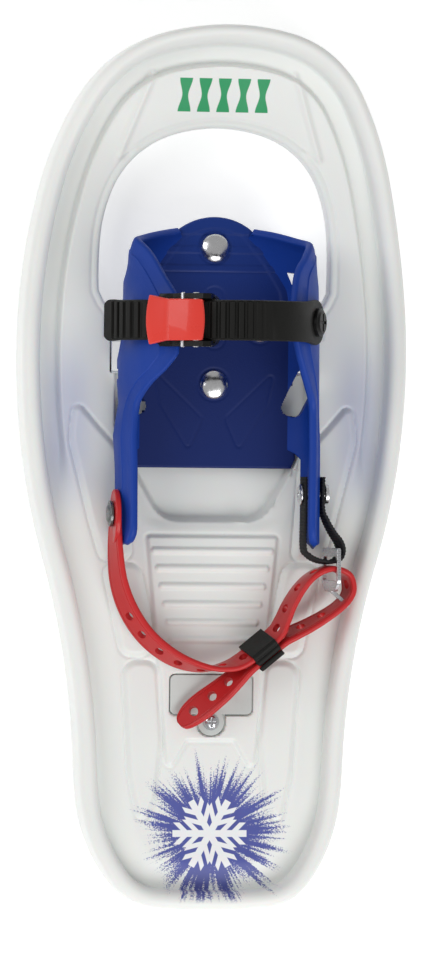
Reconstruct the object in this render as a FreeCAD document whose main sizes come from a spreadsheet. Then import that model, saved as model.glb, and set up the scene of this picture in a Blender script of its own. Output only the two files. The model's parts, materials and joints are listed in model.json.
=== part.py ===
"""A child's moulded snowshoe with a pivoting strap binding and a light unit in its tail.

Frame, in millimetres: X across the shoe, Y towards the toe, Z up. The origin lies on the
ground under the middle of the deck's length and width. Every driving size is a cell of the
spreadsheet, and the sketches, pads and extrusions read those cells.
"""
import FreeCAD
import Part
import math
import os
import re
from FreeCAD import Placement, Rotation, Vector

SIZES = [
    ("deck_length", 406.0, "toe to tail"),
    ("rim_top", 27.0, "height of the rolled rim on the flat part"),
    ("rim_foot", 6.0, "height of the rim's lower edge"),
    ("rim_width", 8.9, "across the rolled rim"),
    ("rim_wall", 2.8, "wall of the rolled rim"),
    ("channel_width", 8.4, "gutter between rim and plateau"),
    ("channel_top", 15.0, "height of the gutter's floor"),
    ("plateau_top", 20.0, "height of the walking surface"),
    ("sheet", 3.0, "thickness of the moulded sheet"),
    ("raised_top", 21.5, "top of the platform and pads"),
    ("rib_top", 22.6, "top of the heel ribs"),
    ("well_top", 12.5, "floor of the well below the binding"),
    ("toe_start", 80.0, "where the toe begins to curve up"),
    ("toe_radius", 240.0, "radius of the ground line at the toe"),
    ("tail_start", -150.0, "where the tail begins to curve up"),
    ("tail_radius", 280.0, "radius of the ground line at the tail"),
    ("rail_offset", 48.5, "traction rail from the middle"),
    ("rail_wall", 3.0, "thickness of a traction rail"),
    ("pivot_along", 61.5, "pivot axle along the shoe"),
    ("pivot_height", 9.0, "pivot axle above the ground"),
    ("axle_diameter", 6.0, "pivot axle"),
    ("axle_length", 138.0, "pivot axle"),
    ("running_gap", 0.05, "radial clearance of every turning fit"),
    ("bush_diameter", 10.0, "outside of the pivot bush"),
    ("plate_under", 15.0, "underside of the crampon plate"),
    ("plate_thick", 2.0, "crampon steel"),
    ("foot_thick", 4.0, "footbed of the binding"),
    ("wall_thick", 4.2, "side walls of the binding"),
    ("arm_end", -34.5, "rear end of the binding's arms"),
    ("shank_diameter", 5.0, "binding rivets"),
    ("head_diameter", 13.3, "domed head of the binding rivets"),
    ("head_rise", 3.2, "height of the domed head"),
    ("shank_clear", 0.05, "radial gap between a rivet's shank and what it clamps"),
    ("strap_shank", 4.0, "shanks of the ladder strap's and buckle's rivets"),
    ("strap_wide", 18.5, "ladder strap"),
    ("strap_thick", 2.4, "ladder strap without its ridges"),
    ("heel_wide", 15.0, "heel strap"),
    ("heel_thick", 2.5, "heel strap"),
    ("web_wide", 12.0, "webbing loop"),
    ("web_thick", 1.5, "webbing loop"),
    ("hook_thick", 1.8, "steel of the hook buckle"),
    ("keeper_length", 13.3, "keeper, along the strap"),
    ("door_thick", 2.0, "battery door"),
    ("door_half", 19.1, "half width of the battery door"),
    ("door_front", -94.8, "front edge of the battery door"),
    ("door_rear", -113.0, "rear edge of the battery door"),
    ("screw_along", -116.6, "door screw along the shoe"),
    ("cavity_floor", 5.5, "floor of the light unit's cavity"),
    ("slab_wide", 210.0, "width of the side profiles, wider than the deck"),
    ("column_high", 150.0, "height of the plan outlines, higher than the deck"),
]
ALIASES = {row[0] for row in SIZES}

doc = FreeCAD.newDocument("snowshoe")
sheet = doc.addObject("Spreadsheet::Sheet", "sizes")


def fill_sheet():
    """Write each driving size as one row: name, value, what it is."""
    for row, (alias, value, note) in enumerate(SIZES, start=1):
        sheet.set(f"A{row}", alias)
        sheet.set(f"B{row}", str(value))
        sheet.set(f"C{row}", note)
        sheet.setAlias(f"B{row}", alias)
    doc.recompute()


def size(alias):
    return float(sheet.get(alias))


def bind(thing, prop, expression):
    """Tie a property to the sheet; the expression names cells by their aliases."""
    def cell(word):
        return "sizes." + word.group() if word.group() in ALIASES else word.group()

    thing.setExpression(prop, re.sub(r"[a-z_]+", cell, str(expression)))


# ---------------------------------------------------------------- plane geometry

PLANES = {
    "XY": Rotation(),
    "XZ": Rotation(Vector(1, 0, 0), 90),
    "YZ": Rotation(Vector(1, 1, 1), 120),
}
ROLES = {"XY": "XY_Plane", "XZ": "XZ_Plane", "YZ": "YZ_Plane"}


def flat(point):
    return Vector(point[0], point[1], 0)


def polygon(points):
    """Straight edges through the points, closed."""
    corners = [flat(p) for p in points]
    return [Part.LineSegment(a, b) for a, b in zip(corners, corners[1:] + corners[:1])]


def rounded(points, radius):
    """A closed outline of straight edges with every corner rounded.

    A point may carry its own radius as a third number."""
    count = len(points)
    trims = []
    for i, point in enumerate(points):
        here = flat(point)
        before = flat(points[i - 1]) - here
        after = flat(points[(i + 1) % count]) - here
        r = point[2] if len(point) > 2 else radius
        half = before.getAngle(after) / 2
        cut = r / math.tan(half)
        start = here + before.normalize() * cut
        end = here + after.normalize() * cut
        bisector = (before + after).normalize()
        centre = here + bisector * (r / math.sin(half))
        middle = centre - bisector * r
        trims.append((start, middle, end))
    edges = []
    for i, (start, middle, end) in enumerate(trims):
        edges.append(Part.Arc(start, middle, end))
        following = trims[(i + 1) % count][0]
        if end.distanceToPoint(following) > 1e-6:
            edges.append(Part.LineSegment(end, following))
    return edges


def box_outline(x_low, x_high, y_low, y_high):
    return polygon([(x_low, y_low), (x_high, y_low), (x_high, y_high), (x_low, y_high)])


# ---------------------------------------------------------------- feature helpers


def sketch(name, plane, edges, at=0.0):
    """A free sketch on one of the document's planes, moved along its normal."""
    made = doc.addObject("Sketcher::SketchObject", name)
    turn = PLANES[plane]
    made.Placement = Placement(turn.multVec(Vector(0, 0, at)), turn)
    made.addGeometry(edges, False)
    return made


def extrude(name, plane, edges, length, at=0.0, symmetric=False):
    """Extrude a closed outline; length is a cell expression."""
    made = doc.addObject("Part::Extrusion", name)
    made.Base = sketch(name + "_outline", plane, edges, at)
    made.DirMode = "Normal"
    made.Solid = True
    made.Symmetric = symmetric
    bind(made, "LengthFwd", length)
    return made


def common(name, *shapes):
    made = doc.addObject("Part::MultiCommon", name)
    made.Shapes = list(shapes)
    return made


def fuse(name, *shapes):
    made = doc.addObject("Part::MultiFuse", name)
    made.Shapes = list(shapes)
    return made


def cut(name, base, *tools):
    made = doc.addObject("Part::Cut", name)
    made.Base = base
    made.Tool = tools[0] if len(tools) == 1 else fuse(name + "_tools", *tools)
    return made


def cylinder(name, radius, height, at, axis=Vector(0, 0, 1)):
    """A Part cylinder whose radius and height are cell expressions."""
    made = doc.addObject("Part::Cylinder", name)
    bind(made, "Radius", radius)
    bind(made, "Height", height)
    made.Placement = Placement(at, Rotation(Vector(0, 0, 1), axis))
    return made


def block(name, low, high):
    """An axis-aligned box between two corners."""
    made = doc.addObject("Part::Box", name)
    made.Length = high[0] - low[0]
    made.Width = high[1] - low[1]
    made.Height = high[2] - low[2]
    made.Placement = Placement(Vector(*low), Rotation())
    return made


def new_body(label, placement=None):
    made = doc.addObject("PartDesign::Body", label)
    made.Placement = placement or Placement()
    return made


def body_sketch(body, name, plane, edges, at=0.0):
    made = body.newObject("Sketcher::SketchObject", name)
    role = ROLES[plane]
    origin_plane = next(f for f in body.Origin.OriginFeatures if f.Role == role)
    made.AttachmentSupport = [(origin_plane, "")]
    made.MapMode = "FlatFace"
    made.AttachmentOffset = Placement(Vector(0, 0, at), Rotation())
    made.addGeometry(edges, False)
    return made


def pad(body, name, plane, edges, length, at=0.0, symmetric=False):
    """Pad a closed outline; length is a cell expression or a number."""
    made = body.newObject("PartDesign::Pad", name)
    made.Profile = body_sketch(body, name + "_sketch", plane, edges, at)
    made.SideType = "Symmetric" if symmetric else "One side"
    bind(made, "Length", length)
    return made


def pocket(body, name, plane, edges, length, at=0.0, symmetric=False):
    """Cut a closed outline; one-sided pockets go against the plane's normal."""
    made = body.newObject("PartDesign::Pocket", name)
    made.Profile = body_sketch(body, name + "_sketch", plane, edges, at)
    made.SideType = "Symmetric" if symmetric else "One side"
    bind(made, "Length", length)
    return made


def revolve(body, name, half_profile):
    """Turn a half profile of (radius, height) points about the body's own Z axis."""
    made = body.newObject("PartDesign::Revolution", name)
    made.Profile = body_sketch(body, name + "_sketch", "XZ", half_profile)
    made.ReferenceAxis = (made.Profile[0], ["V_Axis"])
    made.Angle = 360
    return made


def circle(x, y, radius):
    return [Part.Circle(Vector(x, y, 0), Vector(0, 0, 1), radius)]


def group(label, master, placements):
    """Several loose copies of one piece in a single node."""
    links = []
    for i, placement in enumerate(placements):
        link = doc.addObject("App::Link", f"{label}_copy{i}")
        link.LinkedObject = master
        link.Placement = placement
        links.append(link)
    made = doc.addObject("Part::Compound", label)
    made.Links = links
    return made


def move(x, y, z, turn=None):
    return Placement(Vector(x, y, z), turn or Rotation())


NODES = []


def node(feature):
    """Mark a finished sub-part; its label names its file."""
    NODES.append(feature)
    return feature


# ---------------------------------------------------------------- deck

# Joints of the tangent arcs that run down one side, from the toe's tip to the tail's middle.
HALF_OUTLINE = [
    (0.0, 203.0),
    (28.3, 199.5),
    (64.8, 172.0),
    (80.3, 133.6),
    (90.2, 54.0),
    (87.2, 6.0),
    (76.9, -43.1),
    (65.6, -95.5),
    (61.9, -137.3),
    (60.7, -153.6),
    (45.6, -191.1),
    (26.3, -201.9),
    (0.0, -203.0),
]
OPENING_HALF = [(0.0, 157.0), (24.7, 152.4), (48.7, 128.5), (53.7, 105.9), (53.9, 82.0)]
WELL_REAR = -24.0
WELL_FRONT = 45.0
NOTCH_HALF = 47.5
WELL = [
    (46, WELL_FRONT, 4),
    (46, 18, 12),
    (36, -3, 10),
    (24, WELL_REAR, 14),
    (-24, WELL_REAR, 14),
    (-36, -3, 10),
    (-46, 18, 12),
    (-46, WELL_FRONT, 4),
]
WELL_OUTSIDE = [
    (48.8, WELL_FRONT + 2.4, 4),
    (48.8, 18, 12),
    (38.2, -3, 10),
    (25.4, WELL_REAR - 2.4, 14),
    (-25.4, WELL_REAR - 2.4, 14),
    (-38.2, -3, 10),
    (-48.8, 18, 12),
    (-48.8, WELL_FRONT + 2.4, 4),
]
PLATFORM = [(30.5, -31), (20.5, -136), (18, -137), (11, -125), (-11, -125)]
PLATFORM += [(-18, -137), (-20.5, -136), (-30.5, -31)]
PADS = [
    [(65, 33, 3), (67, 14, 20), (57.5, -24, 20), (52, -42, 4), (37.5, -42, 4), (41, 6, 10), (53, 19, 20)],
    [(51.5, -43.5, 5), (42, -86.5, 6), (27, -86.5, 6), (28.7, -68, 12), (34, -43.5, 6)],
    [
        (41.5, -88.5, 7), (38.5, -140, 20), (32.5, -168, 3),
        (25.2, -152, 10), (22.5, -125, 20), (24.5, -88.5, 7),
    ],
]
RIBS = [(-37.6, 28.7), (-45.7, 26.5), (-54.0, 25.0), (-62.3, 23.3), (-70.6, 21.6), (-78.6, 20.0)]
RIB_WIDE = 2.8


def tangent_arcs(joints, inset):
    """Arcs through the joints, each tangent to the one before, moved inwards by the inset.

    The first arc starts level, heading right. Each arc is (start, middle, end)."""
    heading = Vector(1, 0, 0)
    arcs = []
    for start, end in zip(joints, joints[1:]):
        start, end = flat(start), flat(end)
        chord = end - start
        inward = Vector(heading.y, -heading.x, 0)
        radius = chord.dot(chord) / (2 * chord.dot(inward))
        centre = start + inward * radius
        scale = (radius - inset) / radius
        ends = [centre + (p - centre) * scale for p in (start, end)]
        out = ((start + end) / 2 - centre).normalize()
        middle = centre + out * abs(radius - inset)
        arcs.append((ends[0], middle, ends[1]))
        along = chord.normalize()
        heading = along * (2 * heading.dot(along)) - heading
    return arcs


def mirrored(point):
    return Vector(-point.x, point.y, point.z)


def deck_outline(inset):
    """The plan outline, symmetric left and right, moved inwards by the inset."""
    right = tangent_arcs(HALF_OUTLINE, inset)
    start, middle, end = right[-1]
    right[-1] = (start, middle, Vector(0, end.y, 0))
    edges = [Part.Arc(*arc) for arc in right]
    edges += [Part.Arc(*[mirrored(p) for p in reversed(arc)]) for arc in reversed(right)]
    return edges


def slab_edges(top, bottom):
    """Side profile between two heights: flat, curved up at the toe and a little at the tail."""
    reach = size("deck_length") / 2 + 12
    toe_y, toe_r = size("toe_start"), size("toe_radius")
    tail_y, tail_r = size("tail_start"), size("tail_radius")

    def curl(start, radius, sign, height):
        """Middle and end of an arc that leaves the flat part and climbs."""
        turn_r = radius - height
        full = math.asin((reach - abs(start)) / turn_r)
        return [
            Vector(start + sign * turn_r * math.sin(a), radius - turn_r * math.cos(a), 0)
            for a in (full / 2, full)
        ]

    loops = []
    for height in (top, bottom):
        toe_mid, toe_end = curl(toe_y, toe_r, 1, height)
        tail_mid, tail_end = curl(tail_y, tail_r, -1, height)
        loops.append((toe_mid, toe_end, tail_mid, tail_end))
    up, low = loops
    return [
        Part.LineSegment(Vector(tail_y, top, 0), Vector(toe_y, top, 0)),
        Part.Arc(Vector(toe_y, top, 0), up[0], up[1]),
        Part.LineSegment(up[1], low[1]),
        Part.Arc(low[1], low[0], Vector(toe_y, bottom, 0)),
        Part.LineSegment(Vector(toe_y, bottom, 0), Vector(tail_y, bottom, 0)),
        Part.Arc(Vector(tail_y, bottom, 0), low[2], low[3]),
        Part.LineSegment(low[3], up[3]),
        Part.Arc(up[3], up[2], Vector(tail_y, top, 0)),
    ]


def slab(name, top, bottom):
    return extrude(name, "YZ", slab_edges(top, bottom), "slab_wide", symmetric=True)


def column(name, edges):
    """An outline carried up through the whole height of the deck."""
    return extrude(name, "XY", edges, "column_high", at=-20.0)


def opening_edges(grow):
    """The toe opening with its square notch for the crampon, grown outwards."""
    right = tangent_arcs(OPENING_HALF, -grow)
    edges = [Part.Arc(*arc) for arc in right]
    shoulder = right[-1][2]
    notch = NOTCH_HALF + grow
    corners = [shoulder, Vector(notch + 4, 77, 0), Vector(notch, 72, 0), Vector(notch, WELL_FRONT, 0)]
    corners += [mirrored(p) for p in reversed(corners)]
    edges += [Part.LineSegment(a, b) for a, b in zip(corners, corners[1:])]
    edges += [Part.Arc(*[mirrored(p) for p in reversed(arc)]) for arc in reversed(right)]
    return edges


def traction_rail_edges():
    """A rail seen from the side: flat on top, saw teeth along the ground."""
    pitch, depth = 12.0, 4.5
    start, count = -148.0, 15
    points = [(start - 8, 16.5), (start - 2, depth)]
    for i in range(count):
        points.append((start + i * pitch, 0.0))
        points.append((start + i * pitch + 5.0, 0.0))
        points.append((start + (i + 0.75) * pitch, depth))
    end = start + count * pitch
    points += [(end, 0.0), (end + 4, 0.0), (end + 10, 16.5)]
    return polygon(points)


def cross_rail_edges(half):
    """A rail across the shoe with a few broad teeth."""
    teeth = 6
    pitch = 2 * half / teeth
    points = [(-half, 16.5)]
    for i in range(teeth):
        left = -half + i * pitch
        points.append((left + 0.1, 6.0))
        points.append((left + pitch / 2, 1.0))
    points += [(half - 0.1, 6.0), (half, 16.5)]
    return polygon(points)


def make_deck():
    """The one-piece moulded deck."""
    rim_w = size("rim_width")
    wall = size("rim_wall")
    thick = size("sheet")
    gutter_in = rim_w + size("channel_width")
    plateau = size("plateau_top")
    channel = size("channel_top")
    rim_top = size("rim_top")
    well = size("well_top")
    raised = size("raised_top")

    rim_ring = column("rim_ring", deck_outline(0) + deck_outline(rim_w))
    rim_full = common("rim_full", rim_ring, slab("rim_slab", rim_top, size("rim_foot")))
    groove_ring = column("groove_ring", deck_outline(wall) + deck_outline(rim_w - wall))
    groove = common("groove", groove_ring, slab("groove_slab", rim_top - wall, -5.0))
    rim = cut("rim", rim_full, groove)

    thick_field = common(
        "thick_field",
        column("field_column", deck_outline(rim_w - wall / 2)),
        slab("field_slab", plateau, channel - thick),
    )
    gutter_cut = common(
        "gutter_cut",
        column("gutter_ring", deck_outline(rim_w - wall) + deck_outline(gutter_in)),
        slab("gutter_slab", rim_top + 20, channel),
    )
    under_cut = common(
        "under_cut",
        column("under_column", deck_outline(gutter_in + thick)),
        slab("under_slab", plateau - thick, -15.0),
    )
    field = cut("field", cut("field_gutter", thick_field, gutter_cut), under_cut)

    well_prism = column("well_prism", rounded(WELL, 4))
    field_open = cut("field_open", field, well_prism)
    well_floor = extrude("well_floor", "XY", rounded(WELL, 4), "sheet", at=well - thick)
    well_wall = extrude(
        "well_wall", "XY", rounded(WELL_OUTSIDE, 4) + rounded(WELL, 4), "plateau_top - well_top + sheet",
        at=well - thick,
    )

    platform = extrude("platform", "XY", polygon(PLATFORM), "raised_top - plateau_top + 1", at=plateau - 1)
    raised_parts = [platform]
    for i, outline in enumerate(PADS):
        for side in (1, -1):
            points = [(side * p[0],) + p[1:] for p in outline]
            name = f"pad{i}_{'right' if side > 0 else 'left'}"
            raised_parts.append(
                extrude(name, "XY", rounded(points, 4), "raised_top - plateau_top + 1", at=plateau - 1)
            )
    for i, (along, half) in enumerate(RIBS):
        edges = rounded(
            [(half, along + RIB_WIDE / 2), (half, along - RIB_WIDE / 2),
             (-half, along - RIB_WIDE / 2), (-half, along + RIB_WIDE / 2)],
            RIB_WIDE / 2 - 0.05,
        )
        raised_parts.append(extrude(f"rib{i}", "XY", edges, "rib_top - raised_top + 0.5", at=raised - 0.5))

    lip_column = column("lip_column", opening_edges(thick))
    lip = common("lip", lip_column, slab("lip_slab", plateau, plateau - 3 * thick))
    lip_trim = block("lip_trim", (-NOTCH_HALF, WELL_FRONT - 10, 0), (NOTCH_HALF, WELL_FRONT + 3.2, 30))
    lip_front = cut("lip_front", lip, lip_trim)

    rails = []
    offset = size("rail_offset")
    for side in (1, -1):
        at = side * offset - size("rail_wall") / 2
        rails.append(extrude(f"rail{side + 1}", "YZ", traction_rail_edges(), "rail_wall", at=at))
    for i, along in enumerate((-36.0, -140.0)):
        rails.append(extrude(f"cross_rail{i}", "XZ", cross_rail_edges(offset), "rail_wall", at=-along))

    pivot_y, pivot_z = size("pivot_along"), size("pivot_height")
    bosses = []
    for side in (1, -1):
        low, high = sorted((side * 48.5, side * 66.0))
        bosses.append(block(f"boss{side + 1}", (low, pivot_y - 6.5, 2.5), (high, pivot_y + 6.5, 18.0)))

    cavity = cavity_outline(0)
    case = extrude("case", "XY", rounded(cavity_outline(2.4), 4.0), "raised_top - cavity_floor + 2", at=3.5)
    screw_y = size("screw_along")
    boss = cylinder("screw_boss", "5.2", "raised_top - 7", Vector(0, screw_y, 7.0))

    solid = fuse(
        "deck_solid", rim, field_open, well_floor, well_wall, lip_front, case, boss,
        *raised_parts, *rails, *bosses,
    )

    cuts = [
        column("toe_opening", opening_edges(0)),
        extrude("cavity_cut", "XY", rounded(cavity, 2.0), "raised_top", at=size("cavity_floor")),
        extrude("door_seat", "XY", door_edges(0.15), "5", at=raised - size("door_thick") - 0.05),
        cylinder("insert_hole", "2.35", "20", Vector(0, screw_y, 8.5)),
        cylinder(
            "axle_hole", "axle_diameter / 2 + running_gap", "axle_length + 20",
            Vector(-size("axle_length") / 2 - 10, pivot_y, pivot_z), Vector(1, 0, 0),
        ),
    ]
    seat = raised - size("door_thick") - 0.05
    seal_outer, seal_inner = cavity_outline(2.0), cavity_outline(0.6)
    cuts.append(
        extrude("seal_groove", "XY", rounded(seal_outer, 3.6) + rounded(seal_inner, 2.6), "3", at=seat - 0.8)
    )
    deck = cut("deck", solid, *cuts)
    deck.Refine = True
    return node(deck)


def cavity_outline(grow):
    """Corners of the light unit's cavity, grown outwards."""
    half = 16.0 + grow
    front, rear = -96.8 + grow, -111.2 - grow
    return [(half, front), (half, rear), (-half, rear), (-half, front)]


def door_edges(grow):
    """The battery door: a rounded rectangle with a lobe for its screw."""
    half = size("door_half") + grow
    front = size("door_front") + grow
    rear = size("door_rear") - grow
    centre_y = size("screw_along")
    lobe = 6.2 + grow
    meet = math.sqrt(lobe**2 - (rear - centre_y) ** 2)
    corner = 2.5

    def corner_arc(cx, cy, sx, sy):
        mid = corner * math.sqrt(0.5)
        ends = [Vector(cx + sx * corner, cy, 0), Vector(cx, cy + sy * corner, 0)]
        if sx * sy < 0:
            ends.reverse()
        return ends[0], Vector(cx + sx * mid, cy + sy * mid, 0), ends[1]

    arcs = [
        corner_arc(half - corner, front - corner, 1, 1),
        corner_arc(-half + corner, front - corner, -1, 1),
        corner_arc(-half + corner, rear + corner, -1, -1),
        (Vector(-meet, rear, 0), Vector(0, centre_y - lobe, 0), Vector(meet, rear, 0)),
        corner_arc(half - corner, rear + corner, 1, -1),
    ]
    edges = []
    for i, (start, middle, end) in enumerate(arcs):
        edges.append(Part.Arc(start, middle, end))
        edges.append(Part.LineSegment(end, arcs[(i + 1) % len(arcs)][0]))
    return edges


# ---------------------------------------------------------------- pivot


def make_pivot():
    """Axle, its push nuts in the deck's bosses, and the crampon's bushes."""
    along, height = size("pivot_along"), size("pivot_height")
    turn = Rotation(Vector(0, 0, 1), Vector(1, 0, 0))
    half = size("axle_length") / 2
    radius = size("axle_diameter") / 2

    axle = new_body("axle_rod", Placement(Vector(-half, along, height), turn))
    tip = 0.6
    revolve(axle, "axle_turned", polygon([
        (0, 0), (radius - tip, 0), (radius, tip),
        (radius, 2 * half - tip), (radius - tip, 2 * half), (0, 2 * half),
    ]))
    node(axle)

    nut = new_body("push_nut")
    revolve(nut, "push_nut_turned", polygon([(radius, 0), (6, 0), (6, 0.8), (4.4, 1.5), (radius, 1.5)]))
    left = Placement(Vector(-66.05, along, height), Rotation(Vector(0, 0, 1), Vector(-1, 0, 0)))
    right = Placement(Vector(66.05, along, height), turn)
    node(group("axle_push_nuts", nut, [left, right]))

    bush = new_body("bush")
    bore = radius + size("running_gap")
    outer = size("bush_diameter") / 2
    revolve(bush, "bush_turned", polygon([
        (bore, 0), (outer + 1.4, 0), (outer + 1.4, 1.2), (outer, 1.2), (outer, 4.2), (bore, 4.2),
    ]))
    left = Placement(Vector(-EAR_OUTSIDE - 1.2, along, height), turn)
    right = Placement(Vector(EAR_OUTSIDE + 1.2, along, height), Rotation(Vector(0, 0, 1), Vector(-1, 0, 0)))
    node(group("pivot_bushes", bush, [left, right]))


EAR_OUTSIDE = 31.0
RIVETS = [(0.0, 102.2), (0.0, 39.1), (-21.5, 65.6), (21.5, 65.6)]


def make_crampon():
    """Stamped steel plate under the footbed: two toothed ears and a toothed front lip."""
    under, thick = size("plate_under"), size("plate_thick")
    pivot_y, pivot_z = size("pivot_along"), size("pivot_height")
    crampon = new_body("toe_crampon")
    plan = [(EAR_OUTSIDE, 74, 1), (EAR_OUTSIDE, 46, 3), (20, 32, 6), (-20, 32, 6), (-EAR_OUTSIDE, 46, 3)]
    plan += [(-EAR_OUTSIDE, 74, 1), (-18, 110, 1), (18, 110, 1)]
    pad(crampon, "plate", "XY", rounded(plan, 3), "plate_thick", at=under)
    ear = [
        (pivot_y - 13, under + thick / 2), (pivot_y - 13, 8.0), (pivot_y - 9.5, 1.5), (pivot_y - 5.5, 2.4),
        (pivot_y, 1.2), (pivot_y + 5.5, 2.4), (pivot_y + 9.5, 1.5), (pivot_y + 13, 8.0),
        (pivot_y + 13, under + thick / 2),
    ]
    pad(crampon, "ear_right", "YZ", polygon(ear), "plate_thick", at=EAR_OUTSIDE - thick)
    pad(crampon, "ear_left", "YZ", polygon(ear), "plate_thick", at=-EAR_OUTSIDE)
    teeth = [
        (-18, under + 1), (-18, 8), (-14, 2), (-8, 8), (-4, 8), (0, 2), (4, 8), (8, 8),
        (14, 2), (18, 8),
    ]
    teeth.append((18, under + 1))
    pad(crampon, "front_lip", "XZ", polygon(teeth), "plate_thick", at=-110.0)
    bush_r = size("bush_diameter") / 2 + size("running_gap")
    pocket(crampon, "bush_holes", "YZ", circle(pivot_y, pivot_z, bush_r), "100", symmetric=True)
    hole = size("shank_diameter") / 2 + size("running_gap")
    for i, (x, y) in enumerate(RIVETS):
        pocket(crampon, f"rivet_hole{i}", "XY", circle(x, y, hole), "40", symmetric=True)
    node(crampon)

    rivet = new_body("rivet")
    r = size("shank_diameter") / 2
    head = size("head_diameter") / 2
    rise = size("head_rise")
    stack = thick + size("foot_thick")
    dome_r = (head**2 + rise**2) / (2 * rise)
    half_angle = math.asin(head / dome_r) / 2
    top = rise
    mid = Vector(dome_r * math.sin(half_angle), rise - dome_r * (1 - math.cos(half_angle)), 0)
    edges = [
        Part.LineSegment(Vector(0, top, 0), Vector(0, -stack - 1.8, 0)),
        Part.LineSegment(Vector(0, -stack - 1.8, 0), Vector(4.6, -stack - 1.8, 0)),
        Part.LineSegment(Vector(4.6, -stack - 1.8, 0), Vector(4.6, -stack, 0)),
        Part.LineSegment(Vector(4.6, -stack, 0), Vector(r, -stack, 0)),
        Part.LineSegment(Vector(r, -stack, 0), Vector(r, 0, 0)),
        Part.LineSegment(Vector(r, 0, 0), Vector(head, 0, 0)),
        Part.Arc(Vector(head, 0, 0), mid, Vector(0, top, 0)),
    ]
    revolve(rivet, "rivet_turned", edges)
    floor = under + stack
    node(group("crampon_rivets", rivet, [move(x, y, floor) for x, y in RIVETS]))


# ---------------------------------------------------------------- binding

FOOTBED = [
    (0.0, 116.5), (17.0, 110.5), (27.0, 98.0), (35.5, 84.0),
    (37.5, 70.0), (38.5, 40.0), (38.5, 11.0), (31.0, 0.0),
]
RIGHT_SECTION = [(36.5, 17.0), (45.5, 26.0), (46.6, 36.0), (43.0, 50.0), (37.2, 60.0), (29.0, 67.5)]
LEFT_SECTION = [(36.5, 17.0), (45.5, 26.0), (46.2, 36.0), (43.5, 48.0), (38.0, 57.2), (20.0, 64.8)]
FREE_EDGE = [
    (30.0, 50.0), (37.7, 57.5), (44.0, 61.3), (52.0, 64.2), (70.0, 68.5), (79.0, 66.8), (83.0, 64.3),
    (89.0, 62.0), (96.0, 57.0), (104.0, 45.0),
]
ARM_FOOT = 22.0


def inner_line(points, thick):
    """The wall's outer line moved inwards by its thickness."""
    moved = []
    for i, (x, z) in enumerate(points):
        before = points[max(i - 1, 0)]
        after = points[min(i + 1, len(points) - 1)]
        along = Vector(after[0] - before[0], after[1] - before[1], 0).normalize()
        moved.append((x - along.y * thick, z + along.x * thick))
    moved[0] = (moved[0][0], points[0][1] + thick)
    return moved


def wing(name, section, side):
    """One side wall: its section carried along the shoe, trimmed to its free edge."""
    thick = size("wall_thick")
    loop = section + list(reversed(inner_line(section, thick)))
    band = extrude(
        name + "_band", "XZ", polygon([(side * x, z) for x, z in loop]), "105.5 - arm_end", at=-105.5,
    )
    arm_end = size("arm_end")
    trim = [(arm_end, ARM_FOOT + 3), (arm_end + 3, ARM_FOOT), (6.0, ARM_FOOT), (11.0, 10.0), (88.0, 10.0)]
    trim += [(104.5, 40.0)] + list(reversed(FREE_EDGE)) + [(arm_end + 4, 50.0), (arm_end, 46.0)]
    keep = extrude(name + "_trim", "YZ", polygon(trim), "60", at=5.0 if side > 0 else -65.0)
    return common(name, band, keep)


def corner_wall(name, side):
    """The front corner: a leaning sail from the tongue round to the side wall."""
    base = [(17.5, 110.0), (36.0, 82.0), (40.0, 84.0), (20.0, 112.0)]
    high = [(17.5, 108.0), (42.0, 98.0), (46.2, 103.0), (20.0, 113.0)]
    sections = []
    for i, (loop, z) in enumerate(((base, 17.0), (high, 46.0))):
        edges = polygon([(side * x, y) for x, y in loop])
        sections.append(sketch(f"{name}_level{i}", "XY", edges, at=z))
    sail = doc.addObject("Part::Loft", name + "_sail")
    sail.Sections = sections
    sail.Solid = True
    sail.Ruled = True
    top = extrude(
        name + "_top", "XZ",
        polygon([(side * x, z) for x, z in ((15, 10), (15, 21.0), (30, 33), (47, 46), (47, 10))]),
        "60", at=-130.0,
    )
    return common(name, sail, top)


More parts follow.
